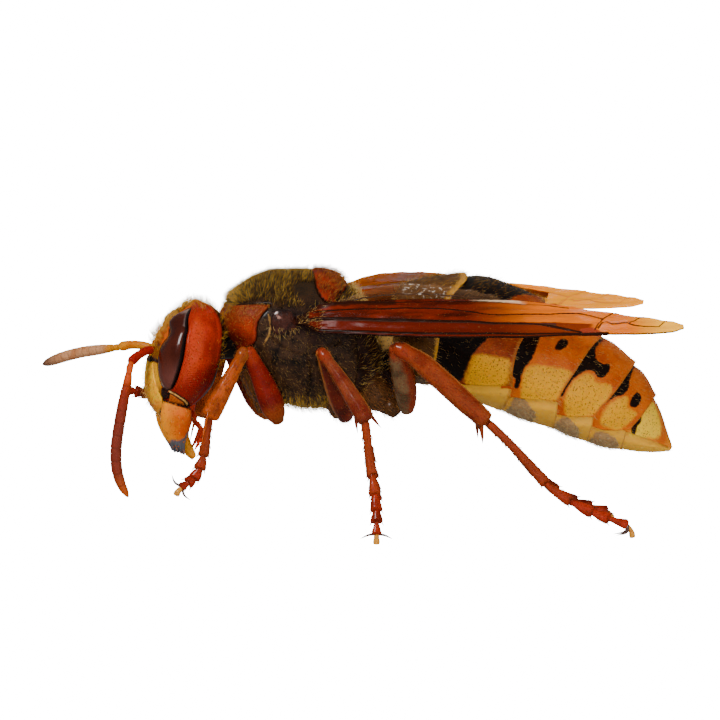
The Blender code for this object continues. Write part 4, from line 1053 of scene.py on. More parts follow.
    def build_clypeus(self) -> None:
        """The yellow shield below the feelers."""
        shares = np.linspace(0, 1, 90)
        across = np.linspace(-1, 1, 80)
        row = self.clypeus.at(self.shield_top + (self.shield_foot - self.shield_top) * shares)
        front, half = row[:, :1], row[:, 1:]
        notch = 0.18 * np.cos(np.pi * np.minimum(np.abs(across) * 1.6, 1) / 2) ** 2 * shares[:, None] ** 4
        height = self.shield_top + (self.shield_foot - self.shield_top) * shares[:, None] + notch
        y = across * half
        back = 0.1 * y ** 2 + 0.012 * y ** 4
        rim = np.minimum.reduce([(1 - np.abs(across)) * half, np.broadcast_to(shares[:, None] * 3.7, y.shape),
                                 np.broadcast_to((1 - shares[:, None]) * 3.7, y.shape)])
        dip = 0.06 * (1 - np.sqrt(1 - (1 - np.clip(rim / 0.22, 0, 1)) ** 2))
        ridge = 0.015 * np.exp(-((rim - 0.16) / 0.06) ** 2)
        outer = np.stack([front + back + dip - ridge, y, height], -1)
        outer[..., 0] += 0.012 * grain(outer, 3.0) + 0.01 * grain(outer, 6.0, 2)
        inner = np.stack([front + back + 0.85, y * 0.93, height], -1)
        marks = (
            Mark("low", "f48c04", 0.35, 0.12, 2.0, 0.85),
            Mark("side", "1c0c06", 0.03, 0.01),
            Mark("top", "170b07", 0.06, 0.03),
        )
        finish = Cuticle("clypeus_yellow", "fcb408", "f4a004", "ffc424", mottle=1.0, rough=0.36,
                         pits=5.0, pit_depth=0.012, pit_colour="c8780c", marks=marks, flesh=0.25).build()
        edge = 0.06 - (1 - np.abs(across)) * half - 3 * ease(height, 9.1, 9.5)
        Draft("clypeus_skin").slab(outer, inner, low=8.35 - height, side=edge,
                                   top=height - 10.92 + 0.1 * np.abs(across)).build(
            finish, "face_yellow", "clypeus")
        gold = Fur("clypeus_hair", "b88030", "f0d088", "d8a850").build()
        Coat("clypeus_coat", 16, (0.2, 0.55), 0.009, 0.65, (0, 0, -1), seed=9).grow(
            Skin(outer, y, y, False), 1.0, gold, "face_yellow")

    def build_jaws(self) -> None:
        """Both mandibles with their teeth, and the mouthparts with the palps."""
        marks = (
            Mark("red", "c84808", 0.25, 0.1, 2.0),
            Mark("yellow", "f8a004", 0.6, 0.15, 2.0, 0.7),
            Mark("joint", "1a0a06", 0.05, 0.02),
            Mark("teeth", "5c585c", 0.14, 0.1, 4.0),
        )
        finish = Cuticle("jaw_amber", "e86804", "d45002", "f08410", rough=0.3, gloss=0.2,
                         gloss_rough=0.1, pits=4.0, pit_depth=0.01, pit_colour="c86408", marks=marks,
                         creases=0.01, crease_way=(3.0, 1.0, 0.6), flesh=0.15).build()
        for side in SIDES:
            shares = np.linspace(0, 1, 90)
            row = self.mandible.at(shares)
            ahead = np.stack([row[:, 0] - row[:, 2], 0 * shares, row[:, 1] - row[:, 3]], -1) / 2
            centre = np.stack([(row[:, 0] + row[:, 2]) / 2, -row[:, 4], (row[:, 1] + row[:, 3]) / 2], -1)
            angles = np.radians(np.arange(64) * 360 / 64)
            lead, thick = power(np.cos(angles), 2.3), power(np.sin(angles), 2.3)
            slim = np.sqrt(np.clip((1.0 - shares) / 0.14, 0, 1))[:, None] * 0.75 + 0.25
            points = centre[:, None] + ahead[:, None] * lead[None, :, None]
            points = points + np.array([0, 1.0, 0]) * (row[:, 5:] * thick[None] * slim)[..., None]
            place = (1 - lead) / 2
            tooth = sum(np.exp(-((place - t) / 0.085) ** 2) for t in self.teeth)
            drop = np.clip((shares - 0.8) / 0.2, 0, 1)[:, None] ** 1.5
            points[..., 2] -= drop * (0.4 * tooth - 0.06)
            points[..., 0] += drop * 0.1 * tooth
            inward = 0.1 * np.sin(np.pi * shares)[:, None] * np.cos(np.pi * lead / 2)
            points[..., 1] -= inward * np.sign(thick) * (np.sign(thick) < 0)
            if side == "right":
                points = points * (1, -1, 1)
            skin = Skin(points, np.repeat(shares[:, None], 64, 1), np.repeat(np.degrees(angles)[None], 90, 0))
            Draft(f"mandible_skin_{side}").skin(
                skin, yellow=lead * 0.85 - 0.3, red=-lead * 0.8 - 0.62,
                joint=(0.035 - shares)[:, None] * 2.6,
                teeth=(shares[:, None] - 0.76 - 0.1 * (lead - 0.1) ** 2 * (lead > 0.1)
                       + 0.22 * np.clip(-lead, 0, 1) ** 3) * 3.0).build(
                finish, "jaw", f"mandible_{side}")
            gold = Fur(f"jaw_hair_{side}", "a87028", "ecc878", "d09a48").build()
            Coat(f"jaw_coat_{side}", 8, (0.15, 0.4), 0.009, 0.6, (0, 0, -1), seed=11).grow(
                skin, ease(0.75 - shares, 0, 0.1)[:, None], gold, "jaw")
        self.build_mouth()

    def build_mouth(self) -> None:
        """Tongue, lower jaws and palps behind the mandibles."""
        finish = Cuticle("mouth_amber", "e08c10", "c86408", "f0b030", rough=0.36,
                         marks=(Mark("palp", "b42c08", 0.1, 0.05, 3.0),), flesh=0.2).build()
        shares = np.linspace(0, 1, 50)
        row = self.mouth.at(shares)
        angles = np.radians(np.arange(40) * 9)
        round_end = np.sqrt(np.clip((1.02 - shares) / 0.12, 0, 1))[:, None]
        x = row[:, :1] + power(np.cos(angles), 2.3) * row[:, 2:3] * round_end
        y = power(np.sin(angles), 2.3) * row[:, 3:4] * round_end
        groove = 0.12 * np.exp(-(y / 0.12) ** 2) * (np.cos(angles) > 0)
        points = np.stack([x - groove, y, np.broadcast_to(row[:, 1:2], x.shape)], -1)
        draft = Draft("mouth_skin")
        draft.skin(Skin(points, np.repeat(shares[:, None], 40, 1), points[..., 1]),
                   palp=(0.52 - shares)[:, None])
        for side in SIDES:
            line = Line(tuple(turned(p, side) for p in self.palp))
            halves = Table(((0, 0.13), (0.12, 0.17), (0.3, 0.11), (0.38, 0.16), (0.6, 0.1), (0.68, 0.14),
                            (0.92, 0.1), (1, 0.06)))
            palp = Tube(line, halves, sides=16, steps=40).shape()
            draft.skin(palp, palp=1.0)
        draft.build(finish, "jaw", "mouthparts")

    def build_feelers(self) -> None:
        """Scape and ringed flagellum of both feelers."""
        red = Cuticle("scape_red", "a01604", "861003", "b82c06", rough=0.4, gloss=0.1, pits=7,
                      pit_depth=0.005, pit_colour="781404", flesh=0.12)
        amber = replace(red, name="scape_amber", colour="dc860c", dark="cc6c08", light="eca420",
                        pit_colour="b86408")
        marks = (
            Mark("bent", "cc4c0c", 0.5, 0.1, 2.0, 0.8),
            Mark("tip", "c05410", 0.8, 0.1, 2.0, 0.8),
            Mark("dim", "6c2c20", 1.4, 0.2, 2.0, 0.75),
            Mark("joint", "4c1c0e", 0.05, 0.01, 5.0, 0.35),
        )
        ringed = Cuticle("flagellum_rust", "90280e", "76200c", "9c3a14", rough=0.5, spread=0.1,
                         gloss=0.0, pits=14, pit_depth=0.004, pit_colour="6c200c", marks=marks)
        far = replace(ringed, name="flagellum_far", colour="dc9c6c", dark="c88050", light="ecb890",
                      marks=(Mark("bent", "dc860c", 0.6, 0.1, 2.0), Mark("tip", "6c4c3c", 1.6, 0.1, 2.0),
                             marks[3]))
        for side in SIDES:
            halves = Table(((0, 0.16), (0.03, 0.27), (0.08, 0.27), (0.13, 0.19), (0.3, 0.255), (0.7, 0.275),
                            (0.93, 0.31), (1, 0.26)))
            scape = Tube(Line(self.scape[side]), halves, sides=28, steps=60, cap=0.1, side=(0, 0, 1)).shape()
            Draft(f"scape_skin_{side}").skin(scape).build(
                (red if side == "left" else amber).build(), "feeler", f"antenna_{side}_scape")
            skin, joint = self.flagellum_skin(side)
            length = 9.0
            Draft(f"flagellum_skin_{side}").skin(
                skin, joint=joint, bent=(0.16 - skin.along) * length,
                tip=(skin.along - 0.84) * length,
                dim=np.minimum(skin.along - 0.36, 0.9 - skin.along) * length).build(
                (ringed if side == "left" else far).build(), "feeler", f"antenna_{side}_flagellum")
            down = Fur(f"feeler_hair_{side}", "7a3a18", "c89060", "a86838").build()
            Coat(f"feeler_coat_{side}", 60, (0.05, 0.1), 0.004, 0.5, (0, 0, -1), seed=13).grow(
                skin, np.where(skin.along > 0.12, 1.0, 0.0), down, "feeler")

    def flagellum_skin(self, side: str) -> tuple[Skin, Array]:
        """The ringed part of a feeler.

        Args:
            side: left or right.

        Returns:
            Its skin, and the depth of each point in the nearest joint's dark band.
        """
        count = self.rings
        shares = np.linspace(0, 1, count * 14 + 1)
        within = (shares * count) % 1.0
        near = np.minimum(within, 1 - within)
        table = Table(((0, 0.17), (0.04, 0.22), (0.08, 0.2), (0.11, 0.24), (0.3, 0.33), (0.5, 0.35),
            (0.8, 0.34), (0.92, 0.28), (0.97, 0.2), (1, 0.1)))
        size = table.at(shares)[:, 0] * (0.94 + 0.06 * ease(near, 0.0, 0.12) + 0.02 * within)
        line = Line(self.flagellum[side])
        tube = Tube(line, Table(tuple(zip(shares, size))), sides=26, steps=len(shares) - 1, cap=0.08,
                    side=(0, 1, 0) if side == "left" else (0, 0, 1)).shape()
        inner = np.minimum((tube.along * count) % 1.0, 1 - (tube.along * count) % 1.0)
        return tube, 0.05 - inner * 9.0 / count


@dataclass
class Thorax:
    """Neck, pronotum, mesothorax, scutellum, propodeum and the scales over the wing roots."""

    trunk: Table = Table(((-8.9, 14.2, 12.9, 13.6, 1.9), (-8.55, 15.05, 12.35, 13.6, 2.95),
        (-7.98, 15.63, 11.6, 13.5, 3.5), (-6.98, 16.3, 9.95, 13.2, 3.95), (-5.72, 16.69, 8.6, 12.9, 4.2),
        (-3.96, 16.8, 7.95, 12.7, 4.3), (-2.3, 16.78, 8.0, 12.6, 4.1), (-1.44, 16.45, 8.15, 12.4, 3.85),
        (-0.7, 15.8, 8.3, 12.2, 3.5), (0.1, 14.6, 8.55, 11.9, 2.95), (0.75, 13.3, 8.9, 11.4, 2.2),
        (1.1, 12.3, 9.7, 11.1, 1.35)))
    roundness: float = 2.25
    collar: tuple = ((-9.9, 14.45), (-9.0, 14.5), (-7.4, 14.58), (-6.3, 14.56), (-6.24, 14.42),
        (-6.62, 14.02), (-6.95, 13.5), (-7.08, 12.9), (-7.1, 12.3), (-7.4, 11.85), (-7.95, 11.5),
        (-8.3, 10.9), (-8.8, 10.4), (-9.9, 10.4))
    shield: tuple = ((-3.3, 19.0), (-3.32, 17.0), (-3.32, 16.3), (-3.2, 15.4), (-2.85, 14.75), (-2.4, 14.6),
        (-2.0, 14.62), (-1.55, 15.2), (-0.95, 15.8), (-0.55, 16.6), (-0.4, 18.0), (-0.4, 19.0))
    waist: tuple = ((-0.75, 19.0), (-0.75, 16.0), (-0.75, 14.6), (-0.95, 13.2), (-0.82, 11.8), (-0.7, 10.5),
                    (-0.75, 6.0), (4.0, 6.0), (4.0, 19.0))
    scale_place: tuple[float, float, float] = (-5.42, -4.3, 13.42)
    scale_size: tuple[float, float, float] = (0.86, 0.33, 0.84)
    nap: float = 0.36

    def surface(self, start: float, end: float, rows: int, columns: int = COLUMNS) -> Skin:
        """A stretch of the trunk, its ends drawn in.

        Args:
            start: where it begins along X.
            end: where it ends.
            rows: how many rows it has.
            columns: how many columns.

        Returns:
            A skin; along is x, turn is 0 on the left side and 90 on top.
        """
        xs = np.linspace(start, end, rows)
        x, angle = np.meshgrid(xs, np.arange(columns) * 360 / columns, indexing="ij")
        row = self.trunk.at(x)
        turn = np.radians(angle)
        rise = np.where(np.sin(turn) > 0, row[..., 0] - row[..., 2], row[..., 2] - row[..., 1])
        y = -power(np.cos(turn), self.roundness) * row[..., 3]
        z = row[..., 2] + power(np.sin(turn), self.roundness) * rise
        return Skin(np.stack([x, y, z], -1), x, angle)

    def depth(self, outline: tuple, skin: Skin) -> Array:
        """Depth inside an outline that is drawn on the side view."""
        return Drawing(outline, smooth=2).depth(skin.points[..., 0], skin.points[..., 2])

    def under_nap(self, skin: Skin, height: Array) -> Skin:
        """The skin with its relief, as deep below the trunk's outline as its fuzz is long."""
        return skin.raised(height - self.nap * ease(np.sin(np.radians(skin.turn)), 0.15, 0.85))

    def relief(self, skin: Skin) -> Array:
        """Furrows and swellings of the whole trunk."""
        x, y, z = (skin.points[..., k] for k in range(3))
        top = ease(np.sin(np.radians(skin.turn)), 0.2, 0.6)
        height = 0.05 * grain(skin.points, 0.9) + 0.012 * grain(skin.points, 4.0, 2)
        for place in (1.15, 2.35):
            furrow = np.exp(-((np.abs(y) - place - 0.1 * (x + 5)) / 0.09) ** 2)
            height -= 0.09 * furrow * top * ease(-x, 3.4, 3.9) * ease(x, -8.2, -7.6)
        seam = Drawing(((-6.3, 12.4), (-5.2, 11.6), (-4.2, 11.3), (-3.0, 11.5), (-1.9, 12.3)), half=0.08)
        low = Drawing(((-3.9, 11.3), (-3.6, 10.2), (-3.9, 9.0), (-4.2, 8.2)), half=0.08)
        side = deepest(seam.depth(x, z), low.depth(x, z))
        height -= 0.12 * ease(side, -0.14, 0.06) * (np.abs(y) > 1.2)
        return height

    def build(self) -> None:
        """Builds every piece of the thorax."""
        self.build_front()
        self.build_middle()
        self.build_shield()
        self.build_rear()
        self.build_scales()

    def build_front(self) -> None:
        """Neck and pronotum."""
        dark = Cuticle("neck_black", "1a0e09", "0c0705", "2c1810", rough=0.5, gloss=0.2).build()
        neck = Tube(Line(((-9.3, 0, 11.9), (-8.4, 0, 12.1), (-7.6, 0, 12.3))),
            Table(((0, 1.0), (0.5, 1.15), (1, 1.4))), sides=40, steps=20, side=(0, 0, 1)).shape()
        Draft("neck_skin").skin(neck.raised(0.05 * grain(neck.points, 2.5))).build(dark, "thorax_dark",
            "neck")
        skin = self.surface(-8.89, -5.95, 90)
        depth = self.depth(self.collar, skin)
        height = self.relief(skin) * 0.5 - 0.42 * (1 - ease(depth, -0.1, 0.05))
        height += 0.1 * np.exp(-((depth - 0.18) / 0.12) ** 2)
        marks = (
            Mark("upper", "7c3412", 0.5, 0.3, 1.2, 0.75),
            Mark("lowly", "64140a", 0.7, 0.2, 1.0, 0.8),
            Mark("edge", "1c0c07", 0.05, 0.02),
        )
        finish = Cuticle("pronotum_rust", "962c0c", "701a08", "ac4412", mottle=0.9, rough=0.5,
                         pits=6.5, pit_depth=0.022, pit_colour="6c1c08", gloss=0.0,
                         creases=0.012, marks=marks, flesh=0.08).build()
        z = skin.points[..., 2]
        skin = self.under_nap(skin, height)
        Draft("pronotum_skin").skin(skin, upper=z - 13.4, lowly=12.4 - z, edge=0.04 - depth).build(
            finish, "thorax_red", "pronotum")
        gold = Fur("collar_hair", "7c3c12", "e0a850", "b47430").build()
        weight = ease(depth, 0.05, 0.3)
        Coat("collar_coat", 110, (0.15, 0.42), 0.006, 0.5, (0.6, 0, 0.5), seed=21).grow(
            skin, weight * (0.25 + ease(z, 12.8, 14.0)), gold, "thorax_red")

    def build_middle(self) -> None:
        """The mesothorax, black under its fuzz."""
        skin = self.surface(-8.8, -0.3, 200)
        collar, shield, waist = (self.depth(o, skin) for o in (self.collar, self.shield, self.waist))
        z = skin.points[..., 2]
        height = self.relief(skin) - 0.4 * ease(deepest(collar, shield, waist), -0.05, 0.1)
        bald = Drawing(((-4.5, 15.9), (-3.5, 16.0), (-3.2, 15.1), (-2.9, 14.6), (-3.9, 14.5),
            (-4.6, 15.0))).depth(skin.points[..., 0], z)
        marks = (
            Mark("red", "2c100a", 0.5, 0.3, 0.9, 0.8),
            Mark("top", "2c2010", 0.8, 0.3, 0.9, 0.7),
            Mark("line", "a87838", 0.04, 0.04, 5.0, 0.8),
        )
        finish = Cuticle("thorax_black", "382212", "120a06", "5c3c20", mottle=1.3, rough=0.5,
                         pits=6.0, pit_depth=0.035, pit_colour="0a0603", gloss=0.35, gloss_rough=0.16,
                         relief=0.012, creases=0.05, crease_way=(1.0, 1.0, 1.6), marks=marks).build()
        skin = self.under_nap(skin, height)
        reddish = Drawing(((-5.9, 12.9), (-4.6, 12.7), (-3.2, 12.3), (-3.0, 13.4), (-4.4, 13.9),
            (-5.8, 13.9))).depth(skin.points[..., 0], z)
        line = Drawing(((-6.36, 13.86), (-6.26, 13.45), (-6.25, 13.05), (-6.38, 12.55), (-6.68, 12.02)),
            half=0.05)
        Draft("mesothorax_skin").skin(skin, red=reddish, top=z - 15.2, line=line.depth(skin.along, z)).build(
            finish, "thorax_dark", "mesothorax")
        self.grow_fuzz(skin, bald, collar, shield, waist)

    def grow_fuzz(self, skin: Skin, bald: Array, collar: Array, shield: Array, waist: Array) -> None:
        """Dense fuzz on the back, sparse golden hairs on the flanks and a fringe below.

        Args:
            skin: the mesothorax.
            bald: depth in the smooth shining place.
            collar: depth in the pronotum's outline.
            shield: depth in the scutellum's outline.
            waist: depth in the propodeum's outline.
        """
        z = skin.points[..., 2]
        open_ground = ease(-deepest(collar, shield, waist), 0.02, 0.15) * ease(-bald, 0.0, 0.25)
        olive = Fur("back_fuzz", "2c1c0e", "785424", "442e14").build()
        halo = Fur("back_halo", "8c5c14", "f4c860", "c49030").build()
        gold = Fur("flank_hair", "4c3014", "c09850", "806030").build()
        back = open_ground * ease(z, 14.0, 14.6)
        Coat("back_coat", 320, (0.18, 0.45), 0.008, 0.66, (0.5, 0, 0.6), 0.32, seed=22).grow(
            skin, back, olive, "thorax_dark")
        front = open_ground * ease(-skin.along, 7.5, 8.1) * ease(z, 13.6, 14.2)
        Coat("front_halo_coat", 110, (0.3, 0.8), 0.009, 0.6, (-0.7, 0, 0.5), 0.25, seed=29).grow(
            skin, front, halo, "thorax_dark")
        Coat("back_halo_coat", 40, (0.35, 0.75), 0.009, 0.8, (0.3, 0, 0.7), 0.25, seed=26).grow(
            skin, back, halo, "thorax_dark")
        flank = open_ground * ease(-z, -14.6, -13.6)
        Coat("flank_coat", 75, (0.15, 0.42), 0.006, 0.45, (0.7, 0, -0.5), 0.35, seed=23).grow(
            skin, flank * (0.45 + 0.65 * ease(-z, -9.6, -8.8)), gold, "thorax_dark")
        Coat("belly_coat", 60, (0.35, 0.75), 0.008, 0.6, (0.3, 0, -0.7), 0.25, seed=28).grow(
            skin, flank * ease(-z, -9.1, -8.5), halo, "thorax_dark")

    def build_shield(self) -> None:
        """The brick-red scutellum."""
        whole = self.surface(-3.75, -0.1, 110)
        keep = slice(int(COLUMNS * 12 / 360), int(COLUMNS * 168 / 360) + 1)
        part = Skin(whole.points[:, keep], whole.along[:, keep], whole.turn[:, keep], False)
        depth = self.depth(self.shield, part)
        y = part.points[..., 1]
        normals = whole.normals()[:, keep]
        height = 0.05 - 0.5 * (1 - ease(depth, -0.08, 0.06)) + 0.12 * ease(depth, 0.0, 0.6)
        height += 0.05 * grain(part.points, 1.2, 5) - 0.1 * np.exp(-(y / 0.14) ** 2) * ease(depth, 0.1, 0.4)
        rear = Drawing(((-1.95, 14.9), (-1.5, 15.55), (-1.25, 16.2), (-1.15, 17.0), (-1.1, 18.0)),
            half=0.09).depth(part.points[..., 0], part.points[..., 2])
        height -= 0.14 * ease(rear, -0.1, 0.06)
        height -= self.nap * ease(np.sin(np.radians(part.turn)), 0.15, 0.85)
        outer = part.points + normals * height[..., None]
        inner = part.points - normals * 0.9
        finish = Cuticle("scutellum_brick", "8c280c", "641a08", "a43c12", mottle=1.1, rough=0.5,
                         pits=7.0, pit_depth=0.02, pit_colour="501608", gloss=0.0,
                         marks=(Mark("edge", "221008", 0.06, 0.03), Mark("seam", "2c120a", 0.04, 0.02))
                         ).build()
        Draft("scutellum_skin").slab(outer, inner, edge=0.08 - depth, seam=rear).build(
            finish, "thorax_red", "scutellum")
        fuzz = Fur("shield_fuzz", "6a2c10", "d89848", "9c5420").build()
        Coat("shield_coat", 90, (0.25, 0.6), 0.007, 0.65, (0.6, 0, 0.5), 0.32, seed=24).grow(
            Skin(outer, part.along, part.turn, False), ease(depth, 0.02, 0.2), fuzz, "thorax_red")

    def build_rear(self) -> None:
        """The propodeum, with its golden tuft."""
        skin = self.surface(-1.45, 1.095, 90)
        waist, shield = self.depth(self.waist, skin), self.depth(self.shield, skin)
        height = self.relief(skin) * 0.6 - 0.4 * (1 - ease(waist, -0.1, 0.05)) - 0.35 * ease(shield, -0.05,
            0.1)
        y, z = skin.points[..., 1], skin.points[..., 2]
        height -= 0.25 * np.exp(-(y / 0.5) ** 2) * ease(skin.points[..., 0], -0.2, 0.6) * ease(z, 10.5, 12.0)
        finish = Cuticle("propodeum_brown", "2c160c", "140a06", "4a2614", mottle=1.0, rough=0.42,
                         pits=6.0, pit_depth=0.02, pit_colour="0c0604", gloss=0.35,
                         marks=(Mark("lobe", "cc9c54", 0.2, 0.12, 2.0, 0.9),)).build()
        skin = self.under_nap(skin, height)
        draft = Draft("propodeum_skin").skin(skin, lobe=-1.0)
        waist_line = Line(((0.3, 0.0, 11.75), (1.2, 0.0, 11.62), (2.2, 0.0, 11.4)))
        stalk = Tube(waist_line, Table(((0, 1.1), (0.5, 0.98), (1, 0.9))), sides=40, steps=24,
            side=(0, 0, 1)).shape()
        draft.skin(stalk.raised(0.04 * grain(stalk.points, 2.5)), lobe=stalk.points[..., 2] - 11.5)
        for side in SIDES:
            knob = Line(
                tuple(turned(p, side) for p in ((0.3, -0.9, 10.9), (1.0, -1.15, 10.1), (1.45, -1.35, 9.2))))
            form = Tube(knob, Table(((0, 0.5), (0.5, 0.72), (1, 0.5))), sides=32, steps=24, cap=0.3).shape()
            draft.skin(form.raised(0.03 * grain(form.points, 2.5)), lobe=-1.0)
        draft.build(finish, "thorax_dark", "propodeum")
        gold = Fur("tuft_hair", "8c6420", "f0cc78", "c09040").build()
        clear = ease(waist, 0.02, 0.2) * ease(-shield, 0.0, 0.15)
        Coat("tuft_coat", 90, (0.4, 0.95), 0.008, 0.65, (0.4, 0, 0.8), 0.3, seed=25).grow(
            skin, clear * (0.25 + 0.75 * ease(z, 13.2, 14.6)), gold, "thorax_dark")

    def build_scales(self) -> None:
        """The glossy scale over each wing root, with a painted highlight on its upper part."""
        # A pale patch on each scale's upper front part is a painted highlight; the edge mark darkens its
        # outline.
        marks = (Mark("sheen", "b88474", 0.1, 0.12, 5.0, 0.6), Mark("edge", "1c0c07", 0.12, 0.04, 3.0, 0.8))
        finish = Cuticle("scale_maroon", "38160c", "160906", "7c4838", mottle=1.6, rough=0.3, gloss=1.0,
            gloss_rough=0.09, pits=4, pit_depth=0.03, relief=0.02, marks=marks, flesh=0.05).build()
        tuft = Fur("scale_hair", "8a6428", "ecd090", "c89c50").build()
        for side in SIDES:
            x, y, z = self.scale_place
            down, over = np.meshgrid(np.linspace(2, 178, 60), np.arange(64) * 360 / 64, indexing="ij")
            d, o = np.radians(down), np.radians(over)
            along, out, up = self.scale_size
            px = x - along * np.cos(d)
            ring = np.sin(d) ** 0.9
            py = y - out * ring * np.cos(o)
            pz = z + up * ring * np.sin(o) * (1 + 0.1 * np.cos(d))
            points = np.stack([px, py, pz], -1)
            points += 0.06 * grain(points, 1.9, 7)[..., None] * np.stack([0 * px, -np.cos(o), np.sin(o)], -1)
            if side == "right":
                points = points * (1, -1, 1)
            skin = Skin(points, down, over)
            rim = np.abs(np.sin(o)) * ring - 0.82
            # Depth in the patch of painted highlight.
            sheen = 0.12 - np.hypot(np.cos(d) - 0.22 - 0.5 * ring * np.sin(o), (ring * np.sin(o) - 0.42)
                * 0.6)
            Draft(f"tegula_skin_{side}").skin(skin, edge=deepest(rim, np.abs(np.cos(d)) - 0.86),
                sheen=sheen).build(finish, "tegula", f"tegula_{side}")
            below = ease(-np.sin(o), 0.2, 0.7) * ease(np.cos(o), -0.2, 0.3)
            Coat(f"tegula_coat_{side}", 45, (0.25, 0.6), 0.01, 0.5, (0.3, 0, -1), seed=27).grow(
                skin, below, tuft, "tegula")


@dataclass
class Gaster:
    """The six rings of the abdomen, with their markings."""

    sections: tuple[tuple[float, ...], ...] = ((0, 1.62, 11.75, 1.66, 10.35, 0.75),
        (1, 2.05, 14.3, 2.15, 9.75, 2.6), (2, 2.85, 15.7, 2.75, 9.45, 3.75),
        (3, 6.47, 16.22, 4.1, 9.25, 4.15), (4, 8.9, 15.72, 6.3, 8.55, 4.55),
        (5, 11.44, 14.6, 8.71, 7.62, 4.7), (6, 13.35, 13.6, 10.45, 6.98, 4.55),
        (7, 15.08, 12.44, 12.09, 6.45, 4.2), (8, 16.25, 11.55, 13.25, 5.98, 3.8),
        (9, 17.26, 10.59, 14.33, 5.58, 3.35), (10, 18.05, 9.6, 15.45, 5.28, 2.75),
        (11, 18.62, 8.43, 16.55, 5.08, 2.1), (12, 19.25, 6.6, 18.2, 4.95, 1.1),
        (13, 19.72, 5.25, 19.5, 4.92, 0.32))
    roundness: float = 2.15
    # Turn from the top, then the section number at the rear margin of rings one to five.
    margins: Table = Table(((0, 3.0, 5.0, 7.0, 9.0, 11.0), (25, 2.98, 4.95, 6.92, 8.86, 10.84),
        (55, 2.72, 4.78, 6.6, 8.6, 10.68), (85, 2.64, 4.58, 6.4, 8.36, 10.5),
        (108, 2.7, 4.66, 6.3, 8.12, 10.32), (122, 2.76, 4.8, 6.4, 8.2, 10.36),
        (150, 2.9, 4.94, 6.75, 8.6, 10.7), (180, 3.0, 5.0, 7.0, 9.0, 11.0)))
    lengths: tuple[float, ...] = (2.0, 3.2, 3.6, 3.2, 2.9, 2.9)
    degrees: tuple[float, ...] = (0.078, 0.078, 0.078, 0.078, 0.055, 0.055)    # mm in one degree of each ring
    # Share along each ring and turn of the lower edge of its upper plate.
    plate_edge: tuple[tuple[tuple[float, float], ...], ...] = (((0.0, 150), (1.0, 128)),
        ((0.0, 150), (0.43, 143), (0.69, 134), (0.97, 123)),
        ((0.0, 139), (0.16, 134), (0.54, 126), (0.94, 120)),
        ((0.0, 139), (0.18, 135), (0.57, 126), (0.97, 118)),
        ((0.0, 135), (0.35, 128), (0.72, 120), (0.98, 110)), ((0.0, 118), (0.5, 108), (1.0, 92)))

    def surface(self, ring: int, rows: int = 90, columns: int = COLUMNS) -> Skin:
        """One ring, from under the ring before it to its own rear lip.

        Args:
            ring: its number, from 0.
            rows: how many rows it has.
            columns: how many columns.

        Returns:
            A skin; along is the share of the ring's length, turn is 0 on top and 90 on the left side.
        """
        start = 0.0 if ring == 0 else -0.16
        share, turn = np.meshgrid(np.linspace(start, 1.0, rows), np.arange(columns) * 360 / columns,
            indexing="ij")
        edges = self.margins.at(np.where(turn > 180, 360 - turn, turn))
        low = np.zeros_like(turn) if ring == 0 else edges[..., ring - 1]
        high = np.full_like(turn, 13.0) if ring == 5 else edges[..., ring]
        row = Table(self.sections).at(low + (high - low) * share)
        top = np.stack([row[..., 0], 0 * share, row[..., 1]], -1)
        bottom = np.stack([row[..., 2], 0 * share, row[..., 3]], -1)
        angle = np.radians(turn)
        points = ((top + bottom) / 2 + (top - bottom) / 2 * power(np.cos(angle), self.roundness)[..., None]
                  + np.array([0, -1.0, 0]) * (power(np.sin(angle), self.roundness) * row[..., 4])[..., None])
        return Skin(points, share, turn)

    def build(self) -> None:
        """Builds the rings and their hairs."""
        for ring in range(6):
            self.build_ring(ring)

    def slot(self, ring: int) -> str:
        """The record's material slot of a ring."""
        return "abdomen_dark" if ring < 2 else "abdomen_yellow"

    def build_ring(self, ring: int) -> None:
        """One ring: its upper plate laps over the lower one, its rear lip over the next ring.

        Args:
            ring: its number, from 0.
        """
        skin = self.surface(ring, 110)
        share, fold = skin.along, np.where(skin.turn > 180, 360 - skin.turn, skin.turn)
        across = self.degrees[ring]
        edge_turn = Table(self.plate_edge[ring]).at(share)[..., 0]
        lap = (edge_turn - fold) * across
        lap = np.minimum(lap, 9.0) if ring else lap
        height = -0.16 * (1 - ease(lap, -0.03, 0.03)) + 0.05 * np.exp(-((lap - 0.1) / 0.08) ** 2)
        under = ease(-lap, 0.15, 1.0)
        height += -0.15 * (1 - ease(share, -0.02, 0.35)) * (1 - 0.75 * under) + 0.05 * ease(share, 0.8,
            1.0) * ease(lap, -0.1, 0.1)
        height += (0.18 + 0.06 * np.sin(np.pi * np.clip(share, 0, 1))) * under
        height += 0.035 * grain(skin.points, 0.8, ring) + 0.006 * grain(skin.points, 5.0, ring)
        if ring == 5:
            height *= ease(1 - share, 0, 0.15)
        skin = skin.raised(height)
        lip = skin.points[-1:] - skin.normals()[-1:] * 0.07
        tuck = skin.points[-6:-5] - skin.normals()[-6:-5] * 0.16
        extra = [lip, tuck] if ring < 5 else []
        rows = len(extra)
        points = np.concatenate([skin.points, *extra])
        full = Skin(points, np.concatenate([share, *[share[-1:]] * rows]),
                    np.concatenate([skin.turn, *[skin.turn[-1:]] * rows]))
        layers = self.layers(ring, share, fold, lap)
        layers = {name: np.concatenate([v, *[v[-1:]] * rows]) for name, v in layers.items()}
        finish = self.finish(ring).build()
        Draft(f"abdomen_skin_{ring + 1}").skin(full, **layers).build(
            finish, self.slot(ring), f"abdomen_segment_{ring + 1}")
        self.grow_hair(ring, skin, fold, lap)

    def layers(self, ring: int, share: Array, fold: Array, lap: Array) -> dict[str, Array]:
        """Depths of the markings of one ring.

        Args:
            ring: its number, from 0.
            share: share of its length at each point.
            fold: turn from the top at each point, on either side.
            lap: depth inside the upper plate.

        Returns:
            The layers by name.
        """
        length, across = self.lengths[ring], self.degrees[ring]
        scale = (length, across)

